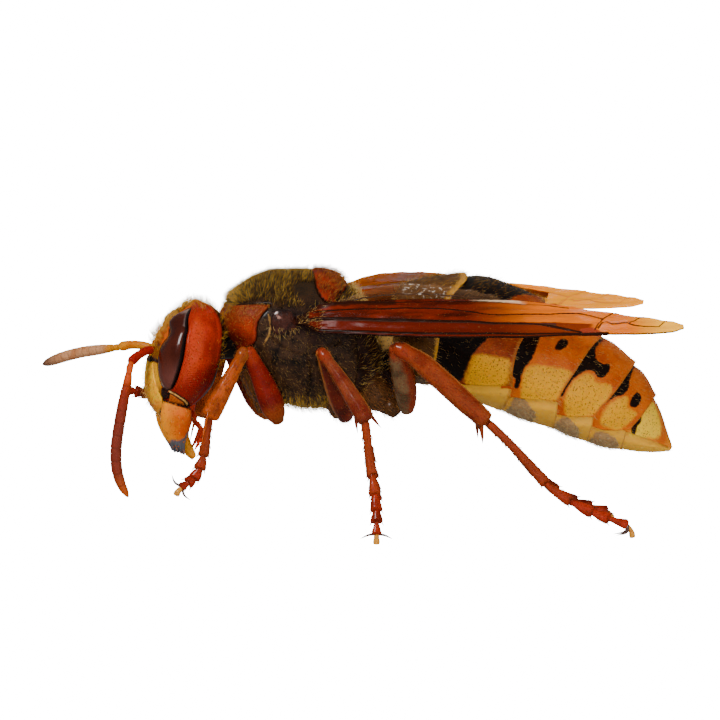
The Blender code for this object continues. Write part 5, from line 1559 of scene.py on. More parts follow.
        def drawn(*outlines: tuple) -> Array:
            """Depth in the deepest of some outlines."""
            return deepest(*(Drawing(o, scale).depth(share, fold) for o in outlines))

        none = np.full(share.shape, -1.0)
        black, yellow, hairy = none, none, none
        if ring == 0:
            yellow = np.minimum((share - 0.958 - 0.015 * ease(fold, 40, 85)) * length, (132 - fold) * across)
        elif ring == 1:
            black = drawn(((-0.4, -30), (0.97, -30), (0.93, 0), (0.84, 14), (0.74, 24), (0.64, 40),
                (0.645, 70), (0.61, 89), (0.55, 96), (0.49, 104), (0.46, 112), (0.43, 121), (0.4, 136),
                (0.3, 150), (0.0, 160), (-0.4, 160)))
            yellow = drawn(((0.5, 107), (0.62, 103), (0.78, 101), (0.93, 99), (0.97, 108), (0.93, 120),
                (0.87, 129), (0.66, 136), (0.46, 139), (0.44, 124)))
        elif ring == 2:
            black = drawn(((-0.4, -30), (0.07, -30), (0.1, 5), (0.08, 30), (0.1, 55), (0.18, 70),
                (0.22, 84), (0.215, 92), (0.17, 99), (0.145, 108), (0.11, 121), (0.03, 124), (0.0, 112),
                (-0.4, 106)), ((0.46, 64), (0.5, 61), (0.6, 60), (0.64, 66), (0.58, 73), (0.51, 75),
                (0.46, 72)))
            yellow = drawn(((0.2, 99), (0.32, 94), (0.45, 92), (0.9, 87), (0.955, 92), (0.965, 104),
                (0.93, 117), (0.74, 123), (0.54, 127), (0.22, 133), (0.155, 124), (0.17, 110)))
            hairy = drawn(((0.06, 141), (0.2, 135), (0.38, 136), (0.52, 141), (0.58, 152), (0.5, 185),
                (0.1, 185)))
        elif ring == 3:
            black = drawn(((-0.4, -30), (0.05, -30), (0.06, 10), (0.05, 36), (0.08, 49), (0.14, 57),
                (0.21, 62), (0.34, 63), (0.42, 60), (0.49, 58), (0.55, 63), (0.57, 70), (0.52, 77),
                (0.41, 79), (0.3, 76), (0.2, 77), (0.135, 81), (0.1, 86), (0.055, 92), (0.055, 101),
                (0.065, 109), (0.01, 114), (-0.4, 114)))
            yellow = drawn(((0.11, 110), (0.085, 96), (0.16, 84), (0.27, 80), (0.42, 84), (0.54, 83),
                (0.82, 79), (0.93, 86), (0.955, 102), (0.91, 116), (0.66, 123), (0.45, 128), (0.19, 132)))
            hairy = drawn(((0.0, 150), (0.22, 138), (0.44, 138), (0.62, 142), (0.7, 160), (0.6, 185),
                (-0.2, 185)))
        elif ring == 4:
            black = drawn(((-0.4, -30), (0.06, -30), (0.07, 10), (0.06, 30), (0.09, 43), (0.155, 57),
                (0.23, 66), (0.215, 78), (0.11, 86), (0.05, 92), (0.0, 96), (-0.4, 96)),
                ((0.46, 66), (0.58, 62), (0.7, 66), (0.73, 76), (0.66, 83), (0.54, 84), (0.46, 78)))
            yellow = drawn(((0.15, 109), (0.11, 95), (0.21, 84), (0.33, 78), (0.44, 84), (0.56, 88),
                (0.7, 87), (0.84, 88), (0.84, 104), (0.73, 118), (0.42, 122), (0.2, 122)))
            hairy = drawn(((0.1, 148), (0.2, 138), (0.44, 133), (0.78, 136), (0.86, 156), (0.6, 185),
                (0.0, 185)))
        else:
            black = drawn(((-0.2, 84), (0.03, 84), (0.1, 88), (0.13, 98), (0.19, 112), (0.12, 114),
                (0.03, 108), (-0.2, 106)))
            yellow = drawn(((0.08, 40), (0.45, 60), (0.55, 90), (0.35, 112), (0.14, 122), (0.06, 100),
                (0.05, 70)))
        return {"black": black, "yellow": yellow, "hairy": hairy, "lap": 0.045 - np.abs(lap),
                "lip": (share - 1.0) * length + 0.11, "below": -lap - 0.02}

    def finish(self, ring: int) -> Cuticle:
        """The cuticle of one ring."""
        black = Mark("black", "160b07", 0.06, 0.045, 3.5)
        yellow = Mark("yellow", "e8a002", 0.16, 0.07, 4.5)
        lip = Mark("lip", "a86420", 0.05, 0.02, 4.0, 0.6)
        lap = Mark("lap", "84300c", 0.03, 0.01)
        below = Mark("below", "eeb030", 0.05, 0.02, 3.0, 0.9)
        hairy = Mark("hairy", "a07c58", 0.1, 0.08, 3.0, 0.88)
        amber = Cuticle(f"abdomen_amber_{ring + 1}", "d06004", "bc4c03", "e07e0a", mottle=0.7, rough=0.38,
            pits=7.0, pit_depth=0.022, pit_colour="6c3402", pit_layer="yellow", gloss=0.1, gloss_rough=0.1,
            marks=(below, hairy, yellow, black, lap, lip), flesh=0.12)
        if ring == 0:
            return replace(amber, colour="5c3814", dark="38200c", light="7c5020", flesh=0.0,
                pit_colour="1c0c06", marks=(replace(yellow, colour="d0902c", soft=0.04, ragged=0.02), lap))
        if ring == 1:
            return replace(amber, colour="a03e04", dark="883002", light="c0640c",
                           marks=(below, hairy, yellow, replace(black, colour="140a06"), lap, lip))
        if ring == 5:
            return replace(amber, colour="dc7c14", dark="cc5c10", light="f4b03c",
                           marks=(below, replace(yellow, colour="fcc828"), black, lap))
        return amber

    def grow_hair(self, ring: int, skin: Skin, fold: Array, lap: Array) -> None:
        """Fine pale hairs, longer on the first rings' backs, along the lips and below.

        Args:
            ring: its number, from 0.
            skin: the ring's skin.
            fold: turn from the top at each point.
            lap: depth inside the upper plate.
        """
        name, slot = ring + 1, self.slot(ring)
        share = skin.along
        shown = ease(share, 0.02, 0.1)
        back = (0.8, 0, -0.3)
        if ring < 2:
            gold = Fur(f"abdomen_gold_{name}", "5c3410", "c89444", "8c5c20").build()
            top = shown * ease(112 - fold, 0, 25)
            Coat(f"abdomen_fuzz_{name}", (34, 20)[ring], ((0.28, 0.65), (0.2, 0.5))[ring], 0.006, 0.5, back,
                0.3, seed=31 + ring).grow(skin, top, gold, slot)
        pale = Fur(f"abdomen_pale_{name}", "b88038", "ecc880", "d0a050").build()
        Coat(f"abdomen_hair_{name}", 15 if ring > 1 else 6, (0.2, 0.45), 0.006, 0.3, back, 0.22,
            seed=41 + ring).grow(skin, shown, pale, slot)
        fringe = ease(share, 0.86, 0.95) * (0.25 + 0.75 * ease(fold, 100, 130))
        Coat(f"abdomen_fringe_{name}", 34, (0.25, 0.55), 0.008, 0.22, (1, 0, -0.45), 0.16,
            seed=51 + ring).grow(skin, fringe, pale, slot)
        if 0 < ring < 5:
            dusky = Fur(f"abdomen_dusk_{name}", "7c6440", "ecd8a8", "a88c60").build()
            hairy = self.layers(ring, share, fold, lap)["hairy"]
            Coat(f"abdomen_patch_{name}", 60, (0.2, 0.45), 0.007, 0.32, (1, 0, -0.4), 0.22,
                seed=61 + ring).grow(skin, ease(hairy, -0.2, 0.2), dusky, slot)


@dataclass
class Wings:
    """Both pairs of folded wings, with their veins."""

    fore: Table = Table(((-4.3, -4.95, 12.92, -4.62, 14.22), (-3.4, -5.2, 12.8, -4.72, 14.48),
        (-2.0, -5.75, 12.74, -4.82, 14.68), (1.0, -6.7, 12.64, -4.98, 14.76),
        (4.2, -7.5, 12.6, -5.05, 14.82), (8.5, -8.2, 12.62, -5.4, 14.72), (11.3, -8.6, 12.7, -5.9, 14.48),
        (14.1, -8.9, 12.78, -6.8, 14.02), (16.2, -9.0, 12.8, -7.4, 13.76), (18.05, -8.8, 12.9, -8.0, 13.52),
        (18.85, -8.45, 13.08, -8.2, 13.3)))
    span: tuple[float, float] = (-4.75, 18.85)
    hind: Table = Table((
        (-2.2, 0.45, 0.2), (-1.2, 0.5, 0.55), (0.8, 0.42, 1.3), (3.0, 0.4, 1.5), (5.5, 0.42, 1.3),
        (8.0, 0.48, 0.7), (10.5, 0.58, 0.2), (12.4, 0.72, 0.02)))
    hind_turn: float = 0.16
    root: float = -4.3
    run: float = 23.15
    camber: float = 0.16
    far_lift: float = 0.85
    far_reach: float = 0.55
    # Veins as lines of (x, share across), and their half width.
    veins: tuple = (
        (0.085, ((-4.7, 0.1), (-2.0, 0.07), (3.0, 0.07), (8.5, 0.06), (12.4, 0.03), (14.0, 0.02))),
        (0.085, ((-4.7, 0.46), (-2.1, 0.44), (3.0, 0.37), (5.5, 0.35), (7.4, 0.31), (9.2, 0.29), (11.2, 0.19),
                 (12.4, 0.08))),
        (0.055, ((-3.6, 0.74), (0.0, 0.72), (3.2, 0.69), (5.6, 0.61), (7.4, 0.53), (9.4, 0.55), (11.4, 0.63),
                 (12.8, 0.69), (13.9, 0.55))),
        (0.045, ((13.9, 0.55), (14.5, 0.9), (14.9, 1.0))),
        (0.045, ((13.5, 0.2), (14.0, 0.45), (14.4, 0.35), (15.3, 0.44), (15.7, 0.36), (17.3, 0.4))),
        (0.045, ((15.5, 0.45), (16.0, 0.73), (16.5, 0.96))),
        (0.04, ((17.3, 0.42), (17.7, 0.75), (17.9, 0.9))),
        (0.04, ((13.3, 0.16), (13.6, 0.36), (13.9, 0.55))),
        (0.04, ((-2.4, 0.93), (2.0, 0.92), (7.0, 0.9), (12.0, 0.9))),
    )
    stigma: tuple = ((12.3, -0.03), (12.38, 0.15), (12.8, 0.21), (13.3, 0.2), (13.62, 0.08), (13.66, -0.03))

    def middle(self, x: Array, across: Array) -> Array:
        """Middle surface of the left forewing, from its leading edge (0) to its fold (1)."""
        row = self.fore.at(x)
        share = np.clip((x - self.root) / self.run, 0, 1)
        arch = self.camber * np.sin(np.pi * np.clip(across, 0, 1)) * np.sqrt(np.sin(np.pi * share))
        return np.stack([x + 0 * across, row[..., 0] + (row[..., 2] - row[..., 0]) * across,
                         row[..., 1] + (row[..., 3] - row[..., 1]) * across + arch], -1)

    def up(self, points: Array) -> Array:
        """Upward unit normals of an open grid."""
        normal = unit(np.cross(np.gradient(points, axis=0), np.gradient(points, axis=1)))
        return normal * np.where(normal[..., 2:] < 0, -1, 1)

    def far(self, points: Array) -> Array:
        """Left wing points, moved to the right side, whose wings are held higher."""
        share = (points[..., 0] - self.root) / self.run
        lift = self.far_lift * np.sin(np.pi * np.clip(share * 1.2, 0, 1) / 2)
        return np.stack([points[..., 0] + self.far_reach * share, -points[..., 1], points[..., 2] + lift], -1)

    def width(self, x: Array) -> Array:
        """Width of the folded forewing."""
        return np.linalg.norm(self.middle(x, np.ones_like(x)) - self.middle(x, np.zeros_like(x)), axis=-1)

    def vein_depth(self, x: Array, across: Array, width: Array) -> Array:
        """How far inside a vein each place of the forewing is, in mm."""
        depths = []
        for half, line in self.veins:
            places = tuple((px, share * float(self.width(np.array(px)))) for px, share in line)
            depths.append(Drawing(places, half=half, smooth=3).depth(x, across * width))
        return deepest(*depths)

    def build(self) -> None:
        """Builds all four wings."""
        marks = (
            # Paler still at the very tip: painted backlight.
            Mark("outer", "ffb424", 0.6, 0.1, 1.5, 0.9),
            Mark("band", "5c1505", 0.06, 0.03, 2.0, 0.9),
            Mark("dusk", "38241c", 0.05, 0.02, 2.0, 0.85),
            Mark("upper", "2c0f06", 0.1, 0.08, 2.0, 0.9),
            Mark("spot", "84301c", 0.04, 0.02, 3.0, 0.95),
            # A pale streak on the fold, about halfway along, is a painted highlight.
            Mark("painted_glint", "f0d0a8", 0.16, 0.08, 3.0, 0.75),
        )
        near = Membrane("wing_amber", "701c04", "3c0e04", "d86804", "240e07", marks,
                        painted_glow=0.55).build()
        # The far wings get a paler amber that glows more: painted backlight, as they stand against the bright
        # backdrop.
        far = Membrane("wing_far_backlit_amber", "c05008", "a43c06", "ffa414", "c87c28", marks[4:5],
                       solid=0.95, tip_solid=0.96, shine=0.0, painted_glow=0.8).build()
        # Pale flecks on the crumpled hindwing are painted highlights.
        silver = Membrane("wing_silver", "6c3c14", "3c2010", "a87c54", "3a1c0c",
                          (Mark("gleam", "ece0d0", 0.05, 0.04, 9.0, 0.8),),
                          solid=0.08, tip_solid=0.16, shine=0.6, rough=0.12).build()
        for side in SIDES:
            self.build_fore(side, near if side == "left" else far)
            self.build_hind(side, silver if side == "left" else far)

    def build_fore(self, side: str, finish: bpy.types.Material) -> None:
        """One forewing.

        Args:
            side: left or right.
            finish: its material.
        """
        rows, columns = (460, 64) if side == "left" else (300, 50)
        x, across = np.meshgrid(np.linspace(*self.span, rows), np.linspace(0, 1, columns), indexing="ij")
        middle = self.middle(x, across)
        root = ease(-3.2 - x, 0, 1.4)
        core = self.middle(x, np.full_like(x, 0.45))
        middle = middle + (core - middle) * root[..., None] * 0.62
        width = self.width(x)
        vein = self.vein_depth(x, across, width)
        up = self.up(middle)
        fold = 0.03 * np.sin(across * width * 9 + 2.2 * grain(middle, 0.35, 2)) * ease(x, -3, 1)
        crumple = 0.05 * grain(middle * (0.55, 1.6, 1.6), 1.1, 5) + 0.02 * grain(middle * (1, 3, 3), 1.6, 6)
        middle = middle + up * ((fold + crumple) * ease(18.85 - x, 0, 0.8))[..., None]
        ridge = 0.055 * np.sqrt(np.clip(vein / 0.07, 0, 1)) + 0.03 * (1 - ease(across * width, 0, 0.16))
        half = 0.03 + ridge + 0.22 * root
        upper, lower = middle + up * half[..., None], middle - up * half[..., None]
        if side == "right":
            upper, lower = self.far(upper), self.far(lower)
        band = np.minimum((0.34 - across) * width, (13.2 - x) * 0.22)
        dusk = np.minimum(0.13 - np.abs((across - 0.4 + 0.012 * x) * width), 11.0 - x)
        fold_edge = np.minimum((across - 0.84) * width, (1.5 - x) * 0.5)
        spot = Drawing(self.stigma, (1.0, 1.7)).depth(x, across)
        layers = {"vein": deepest(vein, 0.05 - 0.035 * ease(x, 12.6, 13.8) - across * width, (root - 0.5)
            * 0.2), "band": band, "dusk": dusk, "spot": spot, "upper": fold_edge, "outer": (x - 16.6) * 0.4,
            # Where the painted highlight lies on the fold.
            "painted_glint": np.minimum((across - 0.93) * width, (1.35 - np.abs(x - 7.75)) * 0.3),
            "tip": ease(x, 4.0, 12.5) if side == "left" else ease(x, 0.0, 12.5)}
        Draft(f"forewing_skin_{side}").slab(upper, lower, **layers).build(finish, "wing", f"forewing_{side}")
        if side == "left":
            fine = Fur("wing_down", "8a5a20", "ecc880", "c89040").build()
            open_wing = Skin(upper, x, across, False)
            Coat("wing_root_coat", 60, (0.15, 0.45), 0.008, 0.5, (1, 0, 0.3), seed=71).grow(
                open_wing, ease(-2.9 - x, 0, 0.6), fine, "wing")
            Coat("wing_coat", 16, (0.03, 0.08), 0.0035, 0.3, (1, 0, 0), seed=72).grow(
                open_wing, ease(x, -2, 2) * ease(17.5 - x, 0, 2), fine, "wing")

    def build_hind(self, side: str, finish: bpy.types.Material) -> None:
        """One hindwing: it lies under the forewing and turns up past its fold, crumpled.

        Args:
            side: left or right.
            finish: its material.
        """
        rows, columns = (260, 52) if side == "left" else (200, 40)
        x, share = np.meshgrid(np.linspace(-2.6, 12.4, rows), np.linspace(0, 1, columns), indexing="ij")
        row = self.hind.at(x)
        outer, reach = row[..., 0], row[..., 1]
        under = 0.6
        across = outer + (1 - outer) * np.clip(share / under, 0, 1)
        base = self.middle(x, across)
        over = unit(self.middle(x, np.ones_like(x)) - self.middle(x, np.full_like(x, 0.9)))
        lead = unit(self.middle(x, across) - self.middle(x, across - 0.02))
        up = unit(np.cross(np.broadcast_to([1.0, 0, 0], lead.shape), lead))
        up = up * np.where(up[..., 2:] < 0, -1, 1)
        past = np.clip((share - under) / (1 - under), 0, 1)
        points = base - up * 0.42 + unit(over + up * self.hind_turn) * (reach * past)[..., None]
        crumple = 0.09 * grain(points * (0.8, 1.6, 1.6), 1.3, 8) + 0.05 * np.sin(x * 5.2 + 6 * share)
        crumple = crumple * (1.0 if side == "left" else 0.35)
        points = points + up * (crumple * past * ease(12.4 - x, 0, 1.5) + 0.2 * past * reach / 1.5)[..., None]
        width = self.width(x) * (1 - outer) + reach
        depth = 0.04 - np.abs((share - 0.2) * width)
        depth = deepest(depth, 0.035 - np.abs((share - 0.8) * width) - ease(x, 8.5, 9.5))
        half = 0.022 + 0.04 * np.sqrt(np.clip(depth / 0.04, 0, 1))
        normal = self.up(points)
        upper, lower = points + normal * half[..., None], points - normal * half[..., None]
        if side == "right":
            upper, lower = self.far(upper), self.far(lower)
        # Flecks of painted highlight on the crumpled part past the fold.
        gleam = 0.1 - np.abs(grain(points * (0.7, 2.2, 2.2), 3.4, 9)) * 1.2
        gleam = np.minimum(gleam, np.minimum(ease(x, 1.2, 2.6), ease(-x, -5.8, -4.6)) * 0.4 - 0.2)
        gleam = np.minimum(gleam, past * 0.5 - 0.12)
        tip = past * (0.8 if side == "left" else 0.35)
        Draft(f"hindwing_skin_{side}").slab(upper, lower, vein=depth, tip=tip, gleam=gleam, spot=-1.0).build(
            finish, "wing", f"hindwing_{side}")


@dataclass
class Legs:
    """All six legs, from coxa to claws."""

    lines: dict[str, dict[str, tuple]] = field(
        default_factory=lambda: {
        "front_left": {"coxa": ((-6.9, -1.2, 10.4), (-6.5, -1.4, 9.2), (-5.95, -1.6, 7.75)),
        "femur": ((-5.72, -2.8, 7.42), (-6.48, -3.45, 9.3), (-7.58, -4.45, 11.55)),
        "tibia": ((-7.95, -4.58, 11.6), (-8.92, -4.62, 9.8), (-10.0, -4.6, 7.8)),
        "foot": ((-10.12, -4.6, 7.5), (-10.22, -4.5, 6.6), (-10.37, -4.4, 5.57), (-10.55, -4.3, 4.76),
        (-10.79, -4.2, 4.14), (-11.06, -4.1, 3.76), (-11.76, -4.0, 3.25))},
        "front_right": {"coxa": ((-6.9, 1.2, 10.4), (-6.5, 1.4, 9.2), (-6.1, 1.6, 7.75)),
        "femur": ((-5.85, 2.75, 7.4), (-6.72, 3.35, 9.0), (-8.05, 4.5, 11.4)),
        "tibia": ((-8.2, 4.62, 11.45), (-9.0, 4.7, 9.45), (-9.75, 4.62, 7.3)),
        "foot": ((-10.0, 4.68, 7.14), (-11.2, 4.9, 7.68), (-12.3, 5.12, 8.2), (-13.4, 5.4, 8.56),
        (-14.3, 5.6, 8.7))},
        "middle_left": {"coxa": ((-1.9, -1.4, 9.4), (-1.75, -1.65, 8.4), (-1.3, -1.9, 7.4)),
        "femur": ((-1.5, -2.85, 7.7), (-2.4, -4.5, 9.65), (-3.32, -6.25, 11.6)),
        "tibia": ((-3.28, -6.42, 11.6), (-2.0, -7.2, 9.7), (-0.86, -7.95, 7.72)),
        "foot": ((-0.82, -8.0, 7.42), (-0.64, -8.3, 5.45), (-0.48, -8.5, 4.31), (-0.33, -8.65, 3.15),
        (-0.25, -8.75, 2.18), (-0.24, -8.85, 1.52), (-0.26, -8.95, 0.67))},
        "middle_right": {"coxa": ((-1.9, 1.4, 9.4), (-1.75, 1.65, 8.4), (-1.3, 1.9, 7.4)),
        "femur": ((-1.25, 2.85, 7.6), (-1.65, 4.5, 9.4), (-2.1, 6.25, 11.2)),
        "tibia": ((-2.0, 6.42, 11.2), (-0.48, 7.2, 9.15), (1.0, 7.95, 6.95)),
        "foot": ((1.06, 8.0, 6.65), (1.4, 8.3, 4.6), (1.64, 8.5, 3.35), (1.84, 8.65, 2.2),
        (1.95, 8.75, 1.5), (2.02, 8.85, 0.67))},
        "hind_left": {"coxa": ((0.1, -1.3, 9.6), (0.75, -1.45, 8.7), (1.85, -1.75, 7.75)),
        "femur": ((2.44, -2.9, 7.85), (2.14, -3.95, 9.5), (1.38, -5.8, 11.8)),
        "tibia": ((1.42, -5.98, 11.86), (2.6, -6.18, 11.2), (3.9, -6.42, 10.05), (6.64, -6.98, 7.52)),
        "foot": ((6.96, -7.0, 7.24), (8.75, -6.9, 5.5), (10.69, -6.7, 3.36), (12.16, -6.5, 2.36),
        (13.42, -6.45, 1.68), (14.44, -6.4, 1.28), (15.72, -6.4, 0.85))},
        "hind_right": {"coxa": ((0.1, 1.3, 9.6), (0.75, 1.45, 8.7), (1.95, 1.75, 7.7)),
        "femur": ((2.85, 2.9, 7.75), (2.85, 3.95, 9.3), (2.55, 5.8, 11.4)),
        "tibia": ((2.7, 5.98, 11.44), (3.9, 6.18, 10.8), (5.4, 6.42, 9.55), (8.42, 6.98, 6.86)),
        "foot": ((8.72, 7.0, 6.58), (10.6, 6.9, 4.76), (12.5, 6.7, 2.7), (13.95, 6.5, 1.62),
        (15.05, 6.45, 1.1), (15.8, 6.4, 0.88), (16.7, 6.4, 0.66))}})
    sizes: dict[str, dict[str, tuple]] = field(
        default_factory=lambda: {
        "front": {"coxa": ((0, 0.85), (0.45, 0.82), (0.66, 0.66), (0.72, 0.5), (0.82, 0.54), (1, 0.44)),
        "femur": ((0, 0.4), (0.08, 0.62), (0.22, 0.76), (0.45, 0.72), (0.78, 0.56), (0.93, 0.46),
        (1, 0.42)), "tibia": ((0, 0.34), (0.06, 0.42), (0.16, 0.37), (0.5, 0.5), (0.9, 0.6), (1, 0.55))},
        "middle": {"coxa": ((0, 0.95), (0.45, 0.92), (0.66, 0.7), (0.72, 0.52), (0.82, 0.57), (1, 0.46)),
        "femur": ((0, 0.42), (0.1, 0.58), (0.35, 0.66), (0.7, 0.5), (0.93, 0.38), (1, 0.36)),
        "tibia": ((0, 0.32), (0.06, 0.4), (0.16, 0.35), (0.5, 0.46), (0.9, 0.56), (1, 0.5))},
        "hind": {"coxa": ((0, 1.05), (0.45, 1.02), (0.66, 0.74), (0.72, 0.56), (0.82, 0.6), (1, 0.5)),
        "femur": ((0, 0.42), (0.08, 0.56), (0.25, 0.68), (0.45, 0.7), (0.78, 0.62), (0.93, 0.5), (1, 0.46)),
        "tibia": ((0, 0.4), (0.05, 0.54), (0.12, 0.5), (0.3, 0.64), (0.6, 0.66), (0.9, 0.62), (1, 0.52))}})
    foot_half: float = 0.3
    flat: float = 0.84
    joints: tuple[float, ...] = (0.0, 0.47, 0.64, 0.78, 0.88, 1.0)
    spurs: dict[str, tuple] = field(default_factory=lambda: {
        "front": (((-0.2, -0.4, 0.0), (-0.24, -0.3, -1.0), 2.05, 0.11),),
        "middle": (((-0.46, 0.0, 0.1), (0.0, -0.1, -1.0), 1.05, 0.12),
                   ((0.34, 0.0, 0.22), (0.62, -0.12, -0.8), 1.1, 0.12)),
        "hind": (((-0.1, 0.0, -0.2), (0.02, -0.05, -1.0), 1.3, 0.17),
                 ((-0.02, 0.28, -0.2), (0.06, 0.08, -1.0), 1.05, 0.12))})
    claws: dict[str, tuple] = field(default_factory=lambda: {"front": ((0.5, 0.16, 0.0), (1.0, 0.02, 0.0)),
        "middle": ((0.52, 0.08, 0.0), (1.0, 0.3, 0.0)), "hind": ((0.32, 0.05, 0.45), (0.5, -0.55, 0.84)),
        "middle_right": ((0.3, 0.1, 0.02), (0.47, 0.34, 0.05))})
    pad_half: float = 0.22
    pad_reach: float = 0.34

    def build(self) -> None:
        """Builds the legs, each of four pieces, and their hairs."""
        finishes = self.finishes()
        for leg in self.lines:
            pair = leg.split("_")[0]
            for part in ("coxa", "femur", "tibia"):
                self.build_limb(leg, pair, part, finishes)
            self.build_foot(leg, pair, finishes["foot"])

    def finishes(self) -> dict[str, bpy.types.Material]:
        """The finishes of all leg pieces, by name."""
        knee = Mark("knee", "9c3010", 0.25, 0.08, 2.0, 0.7)
        dark_end = Mark("end", "4a1c10", 0.25, 0.08, 2.0, 0.7)
        edge = Mark("edge", "c87c38", 0.05, 0.03, 3.0, 0.45)
        red = Cuticle("leg_red", "98260c", "701808", "b03c12", mottle=0.9, rough=0.3, gloss=0.25,
                      gloss_rough=0.1, pits=6, pit_depth=0.006, pit_colour="641408", creases=0.006,
                      crease_way=(1.2, 1.2, 1.2), marks=(knee, dark_end, edge), flesh=0.1)
        coats = {
            "coxa": replace(red, name="coxa_black", colour="34220f", dark="160d07", light="5c4228",
                            pit_colour="080504", flesh=0.0,
                            marks=(Mark("end", "6a4020", 0.4, 0.1, 2.0, 0.8),)),
            "front_femur": replace(red, name="femur_front", colour="7a160a", dark="5a0f08",
                                   light="942410", marks=(Mark("base", "8c4414", 0.35, 0.1, 2.0, 0.6),
                                                               knee)),
            "front_tibia": replace(
                red, name="tibia_front", colour="a43c06", dark="601604", light="a83a06",
                pit_colour="7c2808", mottle=1.8, creases=0.03, pits=4.0, pit_depth=0.02,
                marks=(Mark("knee", "5c2c10", 0.9, 0.3, 2.0, 0.8), Mark("end", "b85c10", 0.3, 0.1, 2.0, 0.5),
                       edge)),
            "middle_femur": replace(red, name="femur_middle", colour="6c200e", dark="451408",
                                    light="8c3414"),
            "middle_tibia": replace(red, name="tibia_middle", colour="8c3c1e", dark="6c2010",
                                    light="a85c34"),
            "hind_femur": replace(red, name="femur_hind", colour="6c5034", dark="4c3824",
                                  light="8c6c48", marks=(Mark("front", "84280c", 0.2, 0.1, 1.5, 0.9), knee)),
            "hind_tibia": replace(red, name="tibia_hind", colour="983c14", dark="7c280c",
                                  light="ac5424"),
        }
        coats["foot"] = replace(red, name="foot_red", colour="9c260e", dark="701a0a", light="c04818",
                                rough=0.3, marks=(Mark("basal", "8c3614", 0.5, 0.15, 1.5, 0.75),
                                                   Mark("claw", "4c4038", 0.1, 0.05, 3.0, 0.95),
                                                   Mark("pad", "d08a2c", 0.1, 0.05, 3.0, 0.95),
                                                   Mark("spine", "3c1a10", 0.1, 0.05, 3.0, 0.8)))
        return {name: finish.build() for name, finish in coats.items()} | {
            "hair": Fur("leg_hair", "6c2c10", "b8803c", "8c4c1c").build(),
            "bristle": Fur("foot_bristle", "4a1c0e", "a05c34", "6c2c14").build()}

    def build_limb(self, leg: str, pair: str, part: str, finishes: dict[str, bpy.types.Material]) -> None:
        """One long piece of a leg.

        Args:
            leg: the leg's name.
            pair: front, middle or hind.
            part: coxa, femur or tibia.
            finishes: materials by name.
        """
        line = Line(self.lines[leg][part])
        start, end = line.at(0.0), line.at(1.0)
        reach = {"coxa": (0.0, 0.1), "femur": ({"front": 0.2, "middle": 0.45, "hind": 0.0}[pair], 0.1),
            "tibia": (0.1, 0.05)}[part]
        run = (start - line.ahead(0.0) * reach[0], *np.array(self.lines[leg][part])[1:-1],
               end + line.ahead(1.0) * reach[1])
        tube = Tube(Line(tuple(map(tuple, run))), Table(self.sizes[pair][part]), 1.0 if part == "coxa"
            else self.flat, sides=36, steps=70,
            cap={"coxa": 0.2, "femur": 0.26, "tibia": 0.22}[part]).shape()
        turn = np.radians(tube.turn)
        height = 0.018 * grain(tube.points, 1.6, 3) + 0.005 * grain(tube.points, 6.0, 4)
        if part == "tibia":
            for place in (70, 110, 250, 290):
                height -= 0.035 * np.exp(-((tube.turn - place) / 7) ** 2) * ease(tube.along, 0.1, 0.25)
            height += 0.05 * ease(tube.along, 0.93, 0.99)
        if part == "femur":
            height -= 0.05 * np.exp(-((tube.turn - 180) / 14) ** 2) * ease(tube.along, 0.55, 0.8)
        skin = tube.raised(height)
        length = 4.0 if part != "coxa" else 2.8
        layers = {"knee": (0.14 - tube.along if part == "tibia" else tube.along - 0.88) * length,
                  "end": (tube.along - (0.8 if part == "tibia" else 0.6)) * length,
                  "base": (0.22 - tube.along) * length,
                  "front": np.cos(turn) * (0.6 if leg.startswith("hind") else 1) * -1 - 0.1,
                  "edge": 0.16 - np.abs(tube.turn - 12) * 0.009}
        draft = Draft(f"{leg}_{part}_skin").skin(skin, **layers)
        if part == "tibia":
            self.add_spurs(draft, np.array(self.lines[leg]["tibia"][-1]), pair, leg.split("_")[1])
        key = "coxa" if part == "coxa" else f"{pair}_{part}"
        draft.build(finishes[key], "leg_dark" if part == "coxa" else "leg", f"{leg}_{part}")
        density, size = {"coxa": (34, (0.3, 0.75)), "femur": (13, (0.15, 0.4)),
            "tibia": (26, (0.12, 0.32))}[part]
        Coat(f"{leg}_{part}_coat", density, size, 0.008, 0.35, tuple(line.ahead(0.5)), 0.2, seed=81).grow(
            skin, 1.0, finishes["hair"], "leg")

    def add_spurs(self, draft: Draft, ankle: Array, pair: str, side: str) -> None:
        """The spurs at the end of a tibia.

        Args:
            draft: the tibia.
            ankle: its end.
            pair: front, middle or hind.
            side: left or right.
        """
        for root, direction, length, radius in self.spurs[pair]:
            lean = unit(np.array(turned(direction, side)))
            start = ankle + np.array(turned(root, side)) - lean * 0.25
            bend = start + lean * (length + 0.25) * 0.5 + np.array([-0.05, 0, 0])
            spike(draft, start, start + lean * (length + 0.25), radius, bend, knee=-1.0, end=1.0, edge=-1.0)

